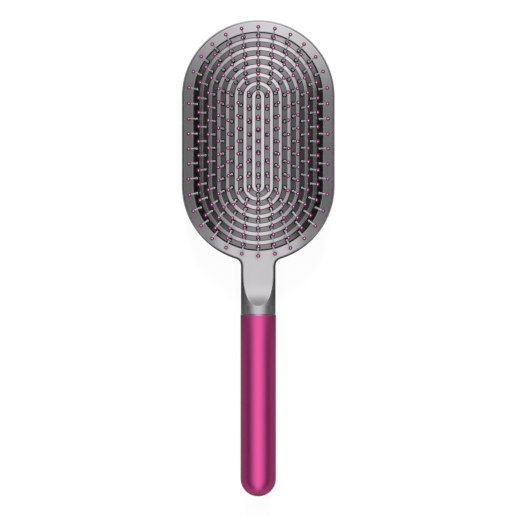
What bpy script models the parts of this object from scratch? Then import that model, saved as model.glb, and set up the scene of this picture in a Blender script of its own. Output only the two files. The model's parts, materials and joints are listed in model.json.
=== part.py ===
"""Paddle brush, modelled in the pieces that it comes apart into on a bench.

Units are metres. The brush lies on its back: +X runs across the paddle, +Y from the handle towards the
top of the paddle, and +Z out of the pinned face. The origin is on the table, under the middle of the brush.
Most pieces of the head follow one outline, a stadium: every point at one distance from a middle line.
"""

import math

import bmesh
import bpy
from mathutils import Matrix, Vector

# Overall form
HEAD_WIDTH = 0.0802
HEAD_LENGTH = 0.1270
NECK_LENGTH = 0.0274
HANDLE_LENGTH = 0.0956
HANDLE_DIAMETER = 0.0186
FACE_ABOVE_AXIS = 0.0050

# Paddle body: rim, edges and walls
RIM_WIDTH = 0.0060
RIM_DROP = 0.0007
RIM_EDGE_RADIUS = 0.0013
LIP_THICKNESS = 0.0018
SIDE_WALL = 0.0019
BACK_EDGE_WIDTH = 0.0012
BACK_EDGE_HEIGHT = 0.0028
POCKET_WALL = 0.0016
LEDGE_THICKNESS = 0.0016
LEDGE_WIDTH = 0.0009

# Neck
NECK_STEP = 0.00022
NECK_FILLET = 0.0040
FACE_BLEND_LENGTH = 0.0120
BACK_BLEND_LENGTH = 0.0180
SCOOP_RADIUS = 0.0330
SCOOP_TO_JOINT = 0.0044
NECK_BORE_DIAMETER = 0.0060

# Cushion
CUSHION_EDGE_GAP = 0.0005
CUSHION_RECESS = 0.0016
DOME_RISE = 0.0036
MEMBRANE_THICKNESS = 0.0013
FIRST_RIDGE_RADIUS = 0.00235
RIDGE_PITCH = 0.0046
RIDGE_WIDTH = 0.0017
RIDGE_HEIGHT = 0.0018
FLANGE_GRIP = 0.0011
FLANGE_WIDTH = 0.0040
FLANGE_THICKNESS = 0.0016
# Where the membrane's underside has its rows, as shares of the way out to the flange.
UNDERSIDE_SHARES = (0.92, 0.67, 0.42, 0.17)

# Pins: how many stand in the centre row and in each ring, and how they fan out
PIN_COUNTS = (9, 18, 24, 26, 32, 34, 36, 38)
PINS_ADDED_PER_RING = 2
STRIP_THICKNESS = 0.0006
PIN_LENGTH = 0.0158
PIN_BASE_DIAMETER = 0.0013
PIN_NECK_DIAMETER = 0.0007
PIN_BALL_DIAMETER = 0.0021
PIN_SINK = 0.0003
FAN_RADIUS_ACROSS = 0.116
FAN_RADIUS_ALONG = 0.180
FAN_FADE_RADIUS = 0.0380

# Clamp frame and its screws
CLAMP_THICKNESS = 0.0022
CLAMP_OVERHANG = 0.0002
SCREW_COUNT = 8
SCREW_DIAMETER = 0.0012
SCREW_BITE = 0.0014
SCREW_HEAD_DIAMETER = 0.0020
SCREW_HEAD_HEIGHT = 0.0010
SCREW_DRIVE_DIAMETER = 0.0010
SCREW_DRIVE_DEPTH = 0.0005

# Back plate
PLATE_THICKNESS = 0.0018
SKIRT_THICKNESS = 0.0012
SNAP_BEAD = 0.0006
SNAP_BEAD_HEIGHT = 0.0010
VENT_DIAMETER = 0.0020
VENT_FROM_TOP = 0.0200

# Handle tube and the spigot that holds it
TUBE_WALL = 0.0012
MOUTH_CHAMFER = 0.0003
SPIGOT_LENGTH = 0.0420
SPIGOT_TIP_CHAMFER = 0.0010
SEAL_GROOVE_DEPTH = 0.0013
SEAL_GROOVE_WIDTH = 0.0017
FRONT_SEAL_SETBACK = 0.0080
REAR_SEAL_SETBACK = 0.0340
SNAP_RING_SETBACK = 0.0210
SNAP_RING_WIDTH = 0.0012
SNAP_RING_BITE = 0.0003
SNAP_RING_SPLIT_DEGREES = 30.0

# Clearances
FIT_GAP = 0.0003
SEAL_GAP = 0.00025
CUT_MARGIN = 0.0020
WELD_DISTANCE = 0.000003

# Fineness of the faceted curves
ARC_STEPS = 14
OUTLINE_ARC_STEPS = 12
FILLET_STEPS = 3
NECK_ROWS = 6
EDGE_ROUND_STEPS = 2
BACK_ROUND_STEPS = 5
TURNED_SIDES = 24
SCREW_SIDES = 8
PIN_SIDES = 3
SEAL_SECTION_SIDES = 6
SHARP_ANGLE = math.radians(40.0)

# Finishes: colour, roughness and share of metal
NICKEL_PAINT = ((0.58, 0.57, 0.58), 0.34, 0.85)
MAGENTA_ANODISED = ((0.72, 0.08, 0.31), 0.36, 0.85)
GREY_RUBBER = ((0.40, 0.40, 0.41), 0.45, 0.20)
GREY_NYLON = ((0.60, 0.60, 0.61), 0.28, 0.30)
BLACK_PLASTIC = ((0.05, 0.05, 0.055), 0.55, 0.0)
BARE_STEEL = ((0.56, 0.57, 0.58), 0.35, 1.0)
BLACK_RUBBER = ((0.03, 0.03, 0.03), 0.70, 0.0)

# Plan of the head
HEAD_RADIUS = HEAD_WIDTH / 2
OVERALL_LENGTH = HEAD_LENGTH + NECK_LENGTH + HANDLE_LENGTH
TOP_Y = OVERALL_LENGTH / 2
UPPER_CENTRE_Y = TOP_Y - HEAD_RADIUS
LOWER_CENTRE_Y = TOP_Y - HEAD_LENGTH + HEAD_RADIUS
HEAD_CENTRE_Y = (UPPER_CENTRE_Y + LOWER_CENTRE_Y) / 2
JOINT_Y = HANDLE_LENGTH - OVERALL_LENGTH / 2
MIDDLE_LINE = UPPER_CENTRE_Y - LOWER_CENTRE_Y

# Heights, from the table up
HANDLE_RADIUS = HANDLE_DIAMETER / 2
AXIS_Z = HANDLE_RADIUS
NECK_RADIUS = HANDLE_RADIUS - NECK_STEP
FACE_Z = AXIS_Z + FACE_ABOVE_AXIS
LIP_UNDER_Z = FACE_Z - LIP_THICKNESS
FLANGE_TOP_Z = LIP_UNDER_Z - FIT_GAP
FLANGE_BOTTOM_Z = FLANGE_TOP_Z - FLANGE_THICKNESS
CLAMP_TOP_Z = FLANGE_BOTTOM_Z - FIT_GAP
CLAMP_BOTTOM_Z = CLAMP_TOP_Z - CLAMP_THICKNESS
CLAMP_SEAT_Z = FLANGE_BOTTOM_Z
CUSHION_EDGE_Z = FACE_Z - CUSHION_RECESS
LEDGE_UNDER_Z = PLATE_THICKNESS + FIT_GAP
LEDGE_TOP_Z = LEDGE_UNDER_Z + LEDGE_THICKNESS

# Distances from the middle line
OPENING_RADIUS = HEAD_RADIUS - RIM_WIDTH
FLANGE_RADIUS = OPENING_RADIUS + FLANGE_GRIP
FLANGE_POCKET_RADIUS = FLANGE_RADIUS + FIT_GAP
FLANGE_INNER_RADIUS = FLANGE_RADIUS - FLANGE_WIDTH
CHAMBER_RADIUS = HEAD_RADIUS - SIDE_WALL
PLATE_POCKET_RADIUS = HEAD_RADIUS - POCKET_WALL
PLATE_RADIUS = PLATE_POCKET_RADIUS - FIT_GAP
LEDGE_RADIUS = PLATE_POCKET_RADIUS - LEDGE_WIDTH
SKIRT_RADIUS = LEDGE_RADIUS - FIT_GAP
# The clamp frame goes in from the back, past the ledge.
CLAMP_OUTER_RADIUS = LEDGE_RADIUS - FIT_GAP
CLAMP_INNER_RADIUS = FLANGE_INNER_RADIUS + CLAMP_OVERHANG
SCREW_LINE_RADIUS = (FLANGE_POCKET_RADIUS + CLAMP_OUTER_RADIUS) / 2
SCREW_HOLE_RADIUS = SCREW_DIAMETER / 2 + FIT_GAP
CUSHION_EDGE_RADIUS = OPENING_RADIUS - CUSHION_EDGE_GAP
STRIP_HALF_WIDTH = (RIDGE_PITCH - RIDGE_WIDTH) / 2 - FIT_GAP

# Handle fit
BORE_RADIUS = HANDLE_RADIUS - TUBE_WALL
SPIGOT_RADIUS = BORE_RADIUS - FIT_GAP
GROOVE_RADIUS = SPIGOT_RADIUS - SEAL_GROOVE_DEPTH
SNAP_RING_OUTER = BORE_RADIUS + SNAP_RING_BITE
SNAP_RING_INNER = GROOVE_RADIUS + FIT_GAP
SNAP_GROOVE_WIDTH = SNAP_RING_WIDTH + 2 * FIT_GAP


def smooth_share(value):
    """Ease from 0 to 1 as value goes from 0 to 1."""
    value = min(max(value, 0.0), 1.0)
    return value * value * (3.0 - 2.0 * value)


def ridge_radii():
    """Distances of the cushion's ridges from the middle line, as many as leave room for the outer pins."""
    radii = []
    radius = FIRST_RIDGE_RADIUS
    while radius + RIDGE_PITCH / 2 + STRIP_HALF_WIDTH <= CUSHION_EDGE_RADIUS:
        radii.append(radius)
        radius += RIDGE_PITCH
    return radii


def groove_floor(distance):
    """Height of the cushion's grooves: a shallow dome over the distance from the middle line."""
    return CUSHION_EDGE_Z + DOME_RISE * (1.0 - (distance / CUSHION_EDGE_RADIUS) ** 2)


def scoop_height(y):
    """Height of the neck's flat, which curves up into the round neck before the handle."""
    tip_y = JOINT_Y + SCOOP_TO_JOINT
    rise = NECK_RADIUS - FACE_ABOVE_AXIS
    run = math.sqrt(rise * (2.0 * SCOOP_RADIUS - rise))
    along = min(max(tip_y + run - y, 0.0), run)
    return FACE_Z + SCOOP_RADIUS - math.sqrt(SCOOP_RADIUS ** 2 - along ** 2)


def stadium(distance, z):
    """Loop of points at one distance from the middle line, at height z."""
    points = []
    for centre_y, start in ((UPPER_CENTRE_Y, 0.0), (LOWER_CENTRE_Y, math.pi)):
        for step in range(ARC_STEPS + 1):
            angle = start + math.pi * step / ARC_STEPS
            points.append(Vector((distance * math.cos(angle), centre_y + distance * math.sin(angle), z)))
    return points


def stadium_point(distance, travel):
    """Point at a share of the way round a stadium loop, from 0 at the top, going clockwise."""
    arc = math.pi * distance / 2
    around = 4 * arc + 2 * MIDDLE_LINE
    along = (travel % 1.0) * around
    if along > around / 2:
        mirrored = stadium_point(distance, 1.0 - travel % 1.0)
        return Vector((-mirrored.x, mirrored.y, 0.0))
    if along <= arc:
        angle = along / distance
        return Vector((distance * math.sin(angle), UPPER_CENTRE_Y + distance * math.cos(angle), 0.0))
    if along <= arc + MIDDLE_LINE:
        return Vector((distance, UPPER_CENTRE_Y - (along - arc), 0.0))
    angle = (along - arc - MIDDLE_LINE) / distance
    return Vector((distance * math.cos(angle), LOWER_CENTRE_Y - distance * math.sin(angle), 0.0))


def circle(radius, height, sides):
    """Loop of points round the local Z axis, or a single point on the axis."""
    if radius == 0.0:
        return [Vector((0.0, 0.0, height))]
    angles = [2.0 * math.pi * step / sides for step in range(sides)]
    return [Vector((radius * math.cos(angle), radius * math.sin(angle), height)) for angle in angles]


def skin(shape, loops, cyclic=False):
    """Join loops in order by bands of faces, and cap both ends; a loop of one point is a pole."""
    rows = [[shape.verts.new(point) for point in loop] for loop in loops]
    bands = list(zip(rows, rows[1:]))
    if cyclic:
        bands.append((rows[-1], rows[0]))
    for first, second in bands:
        count = max(len(first), len(second))
        for here in range(count):
            after = (here + 1) % count
            if len(first) == 1:
                shape.faces.new((first[0], second[after], second[here]))
            elif len(second) == 1:
                shape.faces.new((first[here], first[after], second[0]))
            else:
                shape.faces.new((first[here], first[after], second[after], second[here]))
    if not cyclic:
        for row in (rows[0], rows[-1]):
            if len(row) > 2:
                shape.faces.new(row)


def turned(profile, sides, cyclic=False):
    """Mesh turned round the local Z axis from a profile of (radius, height) points."""
    shape = bmesh.new()
    skin(shape, [circle(radius, height, sides) for radius, height in profile], cyclic)
    return shape


def swept(profile, cyclic=False):
    """Mesh that follows the stadium outline, from a profile of (distance, height) points."""
    shape = bmesh.new()
    skin(shape, [stadium(distance, height) for distance, height in profile], cyclic)
    return shape


def along_handle(shape):
    """Turn a mesh made round Z so that its axis is the handle's axis and its heights run along Y."""
    axis = Matrix.Translation((0.0, 0.0, AXIS_Z)) @ Matrix.Rotation(-math.pi / 2, 4, "X")
    bmesh.ops.transform(shape, matrix=axis, verts=shape.verts)
    return shape


def finish(name, shape, material=None, origin=(0.0, 0.0, 0.0)):
    """Close a mesh made in world space into a named object, with its origin at the given point."""
    bmesh.ops.recalc_face_normals(shape, faces=shape.faces)
    bmesh.ops.translate(shape, vec=-Vector(origin), verts=shape.verts)
    mesh = bpy.data.meshes.new(name)
    shape.to_mesh(mesh)
    shape.free()
    mesh.shade_smooth()
    mesh.set_sharp_from_angle(angle=SHARP_ANGLE)
    piece = bpy.data.objects.new(name, mesh)
    piece.location = origin
    bpy.context.scene.collection.objects.link(piece)
    if material is not None:
        mesh.materials.append(material)
    return piece


def helper(name, shape):
    """A mesh that only cuts or joins another piece."""
    piece = finish(name, shape)
    piece.hide_render = True
    piece.display_type = "WIRE"
    return piece


def combine(piece, other, operation):
    """Cut a helper out of a piece, or join it on."""
    modifier = piece.modifiers.new(other.name, "BOOLEAN")
    modifier.operation = operation
    modifier.object = other
    modifier.solver = "EXACT"


def finish_material(name, colour, roughness, metallic):
    """One Principled material."""
    material = bpy.data.materials.new(name)
    material.use_nodes = True
    shader = material.node_tree.nodes["Principled BSDF"]
    shader.inputs["Base Color"].default_value = (*colour, 1.0)
    shader.inputs["Roughness"].default_value = roughness
    shader.inputs["Metallic"].default_value = metallic
    return material


def outline_stations():
    """Right half of the body's outline, from the handle joint to the top of the head.

    Each station is a point, the direction into the material, how much of the neck's section there is at
    the face and at the back, and the place on the head as an arc's centre and the direction from it, which
    is None along the neck and its fillet. The back turns flat along the neck, the face only on the head.
    """
    stations = []
    inward = Vector((-1.0, 0.0, 0.0))
    reach = HEAD_RADIUS + NECK_FILLET
    fillet_centre_x = NECK_RADIUS + NECK_FILLET
    fillet_y = LOWER_CENTRE_Y - math.sqrt(reach ** 2 - fillet_centre_x ** 2)
    fillet_centre = Vector((fillet_centre_x, fillet_y, 0.0))
    lower_centre = Vector((0.0, LOWER_CENTRE_Y, 0.0))
    to_centre = lower_centre - fillet_centre
    first_angle = math.atan2(-to_centre.y, -to_centre.x)
    arc_start_y = LOWER_CENTRE_Y + HEAD_RADIUS * math.sin(first_angle)

    tip_y = JOINT_Y + SCOOP_TO_JOINT
    rows = [tip_y + (fillet_y - tip_y) * (row / NECK_ROWS) ** 2 for row in range(NECK_ROWS + 1)]
    for y in [JOINT_Y] + rows:
        back_share = smooth_share((arc_start_y - y) / BACK_BLEND_LENGTH)
        stations.append((Vector((NECK_RADIUS, y, 0.0)), inward, 1.0, back_share, None))

    turn = math.atan2(-to_centre.x, to_centre.y) + math.pi / 2
    for step in range(1, FILLET_STEPS):
        angle = math.pi - (math.pi - turn) * step / FILLET_STEPS
        direction = Vector((math.cos(angle), math.sin(angle), 0.0))
        point = fillet_centre + direction * NECK_FILLET
        back_share = smooth_share((arc_start_y - point.y) / BACK_BLEND_LENGTH)
        stations.append((point, direction, 1.0, back_share, None))

    for step in range(OUTLINE_ARC_STEPS + 1):
        angle = first_angle * (1.0 - step / OUTLINE_ARC_STEPS)
        outward = Vector((math.cos(angle), math.sin(angle), 0.0))
        point = lower_centre + outward * HEAD_RADIUS
        face_share = 1.0 - smooth_share((point.y - arc_start_y) / FACE_BLEND_LENGTH)
        stations.append((point, -outward, face_share, 0.0, (lower_centre, outward)))

    upper_centre = Vector((0.0, UPPER_CENTRE_Y, 0.0))
    for step in range(OUTLINE_ARC_STEPS + 1):
        angle = math.pi / 2 * step / OUTLINE_ARC_STEPS
        outward = Vector((math.cos(angle), math.sin(angle), 0.0))
        point = upper_centre + outward * HEAD_RADIUS
        stations.append((point, -outward, 0.0, 0.0, (upper_centre, outward)))
    return stations


def head_edge_section():
    """Edge of the head as (inset, height) points, from the rim's face round to the flat back."""
    top_z = FACE_Z - RIM_DROP
    points = []
    for step in range(EDGE_ROUND_STEPS + 1):
        angle = math.pi / 2 * step / EDGE_ROUND_STEPS
        inset = RIM_EDGE_RADIUS * (1.0 - math.sin(angle))
        points.append((inset, top_z - RIM_EDGE_RADIUS * (1.0 - math.cos(angle))))
    for step in range(BACK_ROUND_STEPS + 1):
        angle = math.pi / 2 * step / BACK_ROUND_STEPS
        inset = BACK_EDGE_WIDTH * (1.0 - math.cos(angle))
        points.append((inset, BACK_EDGE_HEIGHT * (1.0 - math.sin(angle))))
    return points


def neck_section(y, count):
    """The round neck below its flat as (inset, height) points, from the flat's edge to the underside."""
    above_axis = min((scoop_height(y) - AXIS_Z) / NECK_RADIUS, 1.0)
    first = math.asin(above_axis)
    last = -math.pi / 2 + math.pi / TURNED_SIDES
    points = []
    for step in range(count):
        angle = first + (last - first) * step / (count - 1)
        points.append((NECK_RADIUS * (1.0 - math.cos(angle)), AXIS_Z + NECK_RADIUS * math.sin(angle)))
    return points


def body_form():
    """Outer form of the head and neck as one closed mesh, before anything is cut out of it."""
    stations = outline_stations()
    edge = head_edge_section()
    right_rows = []
    for point, inward, face_share, back_share, _ in stations:
        row = []
        neck = neck_section(point.y, len(edge))
        for index, ((edge_inset, edge_z), (neck_inset, neck_z)) in enumerate(zip(edge, neck)):
            share = face_share + (back_share - face_share) * index / (len(edge) - 1)
            inset = edge_inset + (neck_inset - edge_inset) * share
            corner = point + inward * inset
            row.append(Vector((corner.x, corner.y, edge_z + (neck_z - edge_z) * share)))
        right_rows.append(row)

    shape = bmesh.new()
    right = [[shape.verts.new(corner) for corner in row] for row in right_rows]
    left = [[shape.verts.new((-corner.x, corner.y, corner.z)) for corner in row] for row in right_rows]
    for side in (right, left):
        for row, following in zip(side, side[1:]):
            for corner in range(len(edge) - 1):
                shape.faces.new((row[corner], following[corner], following[corner + 1], row[corner + 1]))

    # The joint's end, the underside across the neck, and the flat back.
    shape.faces.new(right[0] + left[0][::-1])
    head_from = next(index for index, station in enumerate(stations) if station[4] is not None)
    for index in range(head_from):
        shape.faces.new((right[index][-1], right[index + 1][-1], left[index + 1][-1], left[index][-1]))
    shape.faces.new([row[-1] for row in right[head_from:]] + [row[-1] for row in left[:head_from - 1:-1]])

    # The flat of the neck, and the rim's face up to a cap that the opening is cut through.
    for index in range(head_from):
        shape.faces.new((right[index][0], right[index + 1][0], left[index + 1][0], left[index][0]))
    cap_radius = OPENING_RADIUS - RIM_EDGE_RADIUS
    cap_points = []
    for centre, outward in [station[4] for station in stations[head_from:]]:
        crest = centre + outward * cap_radius
        cap_points.append(Vector((crest.x, crest.y, FACE_Z)))
    right_cap = [shape.verts.new(point) for point in cap_points]
    left_cap = [shape.verts.new((-point.x, point.y, point.z)) for point in cap_points]
    for side, cap in ((right, right_cap), (left, left_cap)):
        rim = [row[0] for row in side[head_from:]]
        for here in range(len(cap) - 1):
            shape.faces.new((rim[here], rim[here + 1], cap[here + 1], cap[here]))
    shape.faces.new((right[head_from][0], right_cap[0], left_cap[0], left[head_from][0]))
    shape.faces.new(right_cap + left_cap[::-1])

    bmesh.ops.remove_doubles(shape, verts=shape.verts, dist=WELD_DISTANCE)
    bmesh.ops.dissolve_degenerate(shape, edges=shape.edges, dist=WELD_DISTANCE)
    return shape


def cavity_form():
    """What is hollow in the body: the cushion's opening, the flange's pocket, the chamber and the back."""
    return swept((
        (OPENING_RADIUS, FACE_Z + CUT_MARGIN),
        (OPENING_RADIUS, LIP_UNDER_Z),
        (FLANGE_POCKET_RADIUS, LIP_UNDER_Z),
        (FLANGE_POCKET_RADIUS, CLAMP_SEAT_Z),
        (CHAMBER_RADIUS, CLAMP_SEAT_Z),
        (CHAMBER_RADIUS, LEDGE_TOP_Z),
        (LEDGE_RADIUS, LEDGE_TOP_Z),
        (LEDGE_RADIUS, LEDGE_UNDER_Z),
        (PLATE_POCKET_RADIUS, LEDGE_UNDER_Z),
        (PLATE_POCKET_RADIUS, -CUT_MARGIN),
    ))


def groove(centre_y, width, depth_radius, full_radius):
    """Four points of a square groove in a turned profile, going towards the handle's end."""
    near = centre_y + width / 2
    far = centre_y - width / 2
    return [(full_radius, near), (depth_radius, near), (depth_radius, far), (full_radius, far)]


def spigot_form():
    """The spigot that carries the tube, with grooves for two seals and the snap ring."""
    end_y = JOINT_Y - SPIGOT_LENGTH
    profile = [(0.0, JOINT_Y + CUT_MARGIN), (SPIGOT_RADIUS, JOINT_Y + CUT_MARGIN)]
    profile += groove(JOINT_Y - FRONT_SEAL_SETBACK, SEAL_GROOVE_WIDTH, GROOVE_RADIUS, SPIGOT_RADIUS)
    profile += groove(JOINT_Y - SNAP_RING_SETBACK, SNAP_GROOVE_WIDTH, GROOVE_RADIUS, SPIGOT_RADIUS)
    profile += groove(JOINT_Y - REAR_SEAL_SETBACK, SEAL_GROOVE_WIDTH, GROOVE_RADIUS, SPIGOT_RADIUS)
    profile += [(SPIGOT_RADIUS, end_y + SPIGOT_TIP_CHAMFER), (SPIGOT_RADIUS - SPIGOT_TIP_CHAMFER, end_y)]
    profile += [(0.0, end_y)]
    return along_handle(turned(profile, TURNED_SIDES))


def neck_bore_form():
    """The core hole through spigot and neck into the chamber."""
    radius = NECK_BORE_DIAMETER / 2
    start_y = JOINT_Y - SPIGOT_LENGTH - CUT_MARGIN
    end_y = LOWER_CENTRE_Y - CHAMBER_RADIUS + CUT_MARGIN
    return along_handle(turned(((radius, start_y), (radius, end_y)), TURNED_SIDES // 2))


def screw_places():
    """Places of the clamp screws, spread evenly and clear of the neck's root."""
    shares = [(index + 0.5) / SCREW_COUNT for index in range(SCREW_COUNT)]
    return [stadium_point(SCREW_LINE_RADIUS, share) for share in shares]


def screw_hole_form():
    """All the screws' holes, through the clamp frame and blind in the body."""
    shape = bmesh.new()
    for place in screw_places():
        loops = []
        for height in (CLAMP_BOTTOM_Z - CUT_MARGIN, CLAMP_SEAT_Z + SCREW_BITE + FIT_GAP):
            loops.append([place + corner for corner in circle(SCREW_HOLE_RADIUS, height, SCREW_SIDES)])
        skin(shape, loops)
    return shape


def make_paddle_body(material, screw_holes):
    """The moulding that shows: rim, side wall, neck and spigot."""
    body = finish("paddle_body", body_form(), material)
    combine(body, helper("head_cavity", cavity_form()), "DIFFERENCE")
    combine(body, helper("spigot", spigot_form()), "UNION")
    combine(body, helper("neck_bore", neck_bore_form()), "DIFFERENCE")
    combine(body, screw_holes, "DIFFERENCE")
    return body


def make_cushion(material, ridges):
    """The air cushion: a domed membrane with square ridges and a flange that the clamp frame holds."""
    half = RIDGE_WIDTH / 2
    profile = []
    for radius in ridges:
        for distance, height in ((radius - half, 0.0), (radius - half, RIDGE_HEIGHT),
                                 (radius + half, RIDGE_HEIGHT), (radius + half, 0.0)):
            profile.append((distance, groove_floor(distance) + height))
    profile.append((CUSHION_EDGE_RADIUS, CUSHION_EDGE_Z))
    profile.append((CUSHION_EDGE_RADIUS, FLANGE_TOP_Z))
    profile.append((FLANGE_RADIUS, FLANGE_TOP_Z))
    profile.append((FLANGE_RADIUS, FLANGE_BOTTOM_Z))
    profile.append((FLANGE_INNER_RADIUS, FLANGE_BOTTOM_Z))
    for share in UNDERSIDE_SHARES:
        distance = FLANGE_INNER_RADIUS * share
        profile.append((distance, groove_floor(distance) - MEMBRANE_THICKNESS))
    return finish("cushion", swept(profile), material)


def pin_form(shape, foot, direction):
    """Add one tapered pin with a ball tip, sunk into its strip at the foot."""
    profile = (
        (PIN_BASE_DIAMETER / 2, -PIN_SINK),
        (PIN_NECK_DIAMETER / 2, PIN_LENGTH - PIN_BALL_DIAMETER / 2),
        (PIN_BALL_DIAMETER / 2, PIN_LENGTH),
        (0.0, PIN_LENGTH + PIN_BALL_DIAMETER / 2),
    )
    turn = direction.to_track_quat("Z", "Y").to_matrix().to_4x4()
    stand = Matrix.Translation(foot) @ turn
    loops = [circle(radius, height, PIN_SIDES) for radius, height in profile]
    skin(shape, [[stand @ point for point in loop] for loop in loops])


def pin_feet(ring, ridges):
    """Plan positions of one ring's pins; ring 0 is the row along the middle line."""
    count = PIN_COUNTS[min(ring, len(PIN_COUNTS) - 1)]
    count += PINS_ADDED_PER_RING * max(ring - len(PIN_COUNTS) + 1, 0)
    if ring == 0:
        spacing = MIDDLE_LINE / (count - 1)
        return [Vector((0.0, LOWER_CENTRE_Y + spacing * step, 0.0)) for step in range(count)]
    distance = ridges[ring - 1] + RIDGE_PITCH / 2
    return [stadium_point(distance, step / count) for step in range(count)]


def pin_lean(foot):
    """Direction of a pin: away from the middle line, and in the inner rings also along it."""
    nearest_y = min(max(foot.y, LOWER_CENTRE_Y), UPPER_CENTRE_Y)
    away = Vector((foot.x, foot.y - nearest_y, 0.0))
    share = max(1.0 - away.length / FAN_FADE_RADIUS, 0.0)
    along = Vector((0.0, nearest_y - HEAD_CENTRE_Y, 0.0)) * (share / FAN_RADIUS_ALONG)
    return away / FAN_RADIUS_ACROSS + along + Vector((0.0, 0.0, 1.0))


def make_pin_ring(ring, ridges, material, origin):
    """One ring of pins, moulded with the strip that lies in its groove of the cushion."""
    if ring == 0:
        name = "pin_row_centre"
        outer = FIRST_RIDGE_RADIUS - RIDGE_WIDTH / 2 - FIT_GAP
        bottom = groove_floor(0.0) + FIT_GAP
        strip = swept(((outer, bottom), (outer, bottom + STRIP_THICKNESS)))
        middle = 0.0
    else:
        name = "pin_ring_%d" % ring
        middle = ridges[ring - 1] + RIDGE_PITCH / 2
        corners = []
        for distance, lift in ((middle - STRIP_HALF_WIDTH, 0.0), (middle + STRIP_HALF_WIDTH, 0.0),
                               (middle + STRIP_HALF_WIDTH, STRIP_THICKNESS),
                               (middle - STRIP_HALF_WIDTH, STRIP_THICKNESS)):
            corners.append((distance, groove_floor(distance) + FIT_GAP + lift))
        strip = swept(corners, cyclic=True)
    foot_z = groove_floor(middle) + FIT_GAP + STRIP_THICKNESS
    pins = bmesh.new()
    for foot in pin_feet(ring, ridges):
        direction = pin_lean(foot)
        pin_form(pins, Vector((foot.x, foot.y, foot_z)), direction.normalized())
    piece = finish(name, strip, material, origin)
    combine(piece, helper(name + "_pins", pins), "UNION")
    return piece


def make_clamp_frame(material, screw_holes):
    """The frame that holds the cushion's flange against the rim."""
    frame = finish("clamp_frame", swept((
        (CLAMP_INNER_RADIUS, CLAMP_BOTTOM_Z),
        (CLAMP_OUTER_RADIUS, CLAMP_BOTTOM_Z),
        (CLAMP_OUTER_RADIUS, CLAMP_TOP_Z),
        (CLAMP_INNER_RADIUS, CLAMP_TOP_Z),
    ), cyclic=True), material)
    combine(frame, screw_holes, "DIFFERENCE")
    return frame


def make_clamp_screws(material):
    """The clamp screws, heads towards the back, sharing one mesh."""
    head_top = CLAMP_BOTTOM_Z - FIT_GAP
    head_bottom = head_top - SCREW_HEAD_HEIGHT
    shank = SCREW_DIAMETER / 2
    profile = (
        (0.0, head_bottom + SCREW_DRIVE_DEPTH),
        (SCREW_DRIVE_DIAMETER / 2, head_bottom + SCREW_DRIVE_DEPTH),
        (SCREW_DRIVE_DIAMETER / 2, head_bottom),
        (SCREW_HEAD_DIAMETER / 2, head_bottom),
        (SCREW_HEAD_DIAMETER / 2, head_top),
        (shank, head_top),
        (shank, CLAMP_SEAT_Z + SCREW_BITE - shank),
        (0.0, CLAMP_SEAT_Z + SCREW_BITE),
    )
    places = screw_places()
    screws = [finish("clamp_screw_1", turned(profile, SCREW_SIDES), material)]
    for number in range(2, SCREW_COUNT + 1):
        screw = bpy.data.objects.new("clamp_screw_%d" % number, screws[0].data)
        bpy.context.scene.collection.objects.link(screw)
        screws.append(screw)
    for screw, place in zip(screws, places):
        screw.location = place
    return screws


def make_back_plate(material):
    """The plate that snaps into the back, with a skirt whose bead catches over the body's ledge."""
    bead_under = LEDGE_TOP_Z + FIT_GAP
    bead_top = bead_under + SNAP_BEAD_HEIGHT
    plate = finish("back_plate", swept((
        (PLATE_RADIUS, 0.0),
        (PLATE_RADIUS, PLATE_THICKNESS),
        (SKIRT_RADIUS, PLATE_THICKNESS),
        (SKIRT_RADIUS, bead_under),
        (SKIRT_RADIUS + SNAP_BEAD, bead_under),
        (SKIRT_RADIUS, bead_top),
        (SKIRT_RADIUS - SKIRT_THICKNESS, bead_top),
        (SKIRT_RADIUS - SKIRT_THICKNESS, PLATE_THICKNESS),
    )), material)
    vent_radius = VENT_DIAMETER / 2
    vent_top = PLATE_THICKNESS + CUT_MARGIN
    vent = turned(((vent_radius, -CUT_MARGIN), (vent_radius, vent_top)), SCREW_SIDES)
    bmesh.ops.translate(vent, vec=(0.0, TOP_Y - VENT_FROM_TOP, 0.0), verts=vent.verts)
    combine(plate, helper("vent", vent), "DIFFERENCE")
    return plate


def make_handle_tube(material):
    """The tube: a blind bore with a snap-ring groove, a chamfered mouth and a round closed end."""
    mouth_y = JOINT_Y - FIT_GAP
    end_centre_y = HANDLE_RADIUS - OVERALL_LENGTH / 2
    quarter = TURNED_SIDES // 4
    profile = []
    for step in range(quarter + 1):
        angle = math.pi / 2 * (1.0 - step / quarter)
        radius = BORE_RADIUS * math.cos(angle) if step else 0.0
        profile.append((radius, end_centre_y - BORE_RADIUS * math.sin(angle)))
    groove_radius = SNAP_RING_OUTER + FIT_GAP
    ring_groove = groove(JOINT_Y - SNAP_RING_SETBACK, SNAP_GROOVE_WIDTH, groove_radius, BORE_RADIUS)
    profile += ring_groove[::-1]
    profile += [(BORE_RADIUS, mouth_y), (HANDLE_RADIUS - MOUTH_CHAMFER, mouth_y)]
    profile += [(HANDLE_RADIUS, mouth_y - MOUTH_CHAMFER)]
    for step in range(quarter + 1):
        angle = math.pi / 2 * step / quarter
        radius = HANDLE_RADIUS * math.cos(angle) if step < quarter else 0.0
        profile.append((radius, end_centre_y - HANDLE_RADIUS * math.sin(angle)))
    return finish("handle_tube", along_handle(turned(profile, TURNED_SIDES)), material)


def make_seal(name, setback, material):
    """A rubber ring in one of the spigot's grooves."""
    inner = GROOVE_RADIUS + SEAL_GAP
    outer = BORE_RADIUS - SEAL_GAP
    middle = (inner + outer) / 2
    section = (outer - inner) / 2
    profile = []
    for step in range(SEAL_SECTION_SIDES):
        angle = 2.0 * math.pi * step / SEAL_SECTION_SIDES
        profile.append((middle + section * math.cos(angle), JOINT_Y - setback + section * math.sin(angle)))
    return finish(name, along_handle(turned(profile, TURNED_SIDES, cyclic=True)), material)


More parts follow.
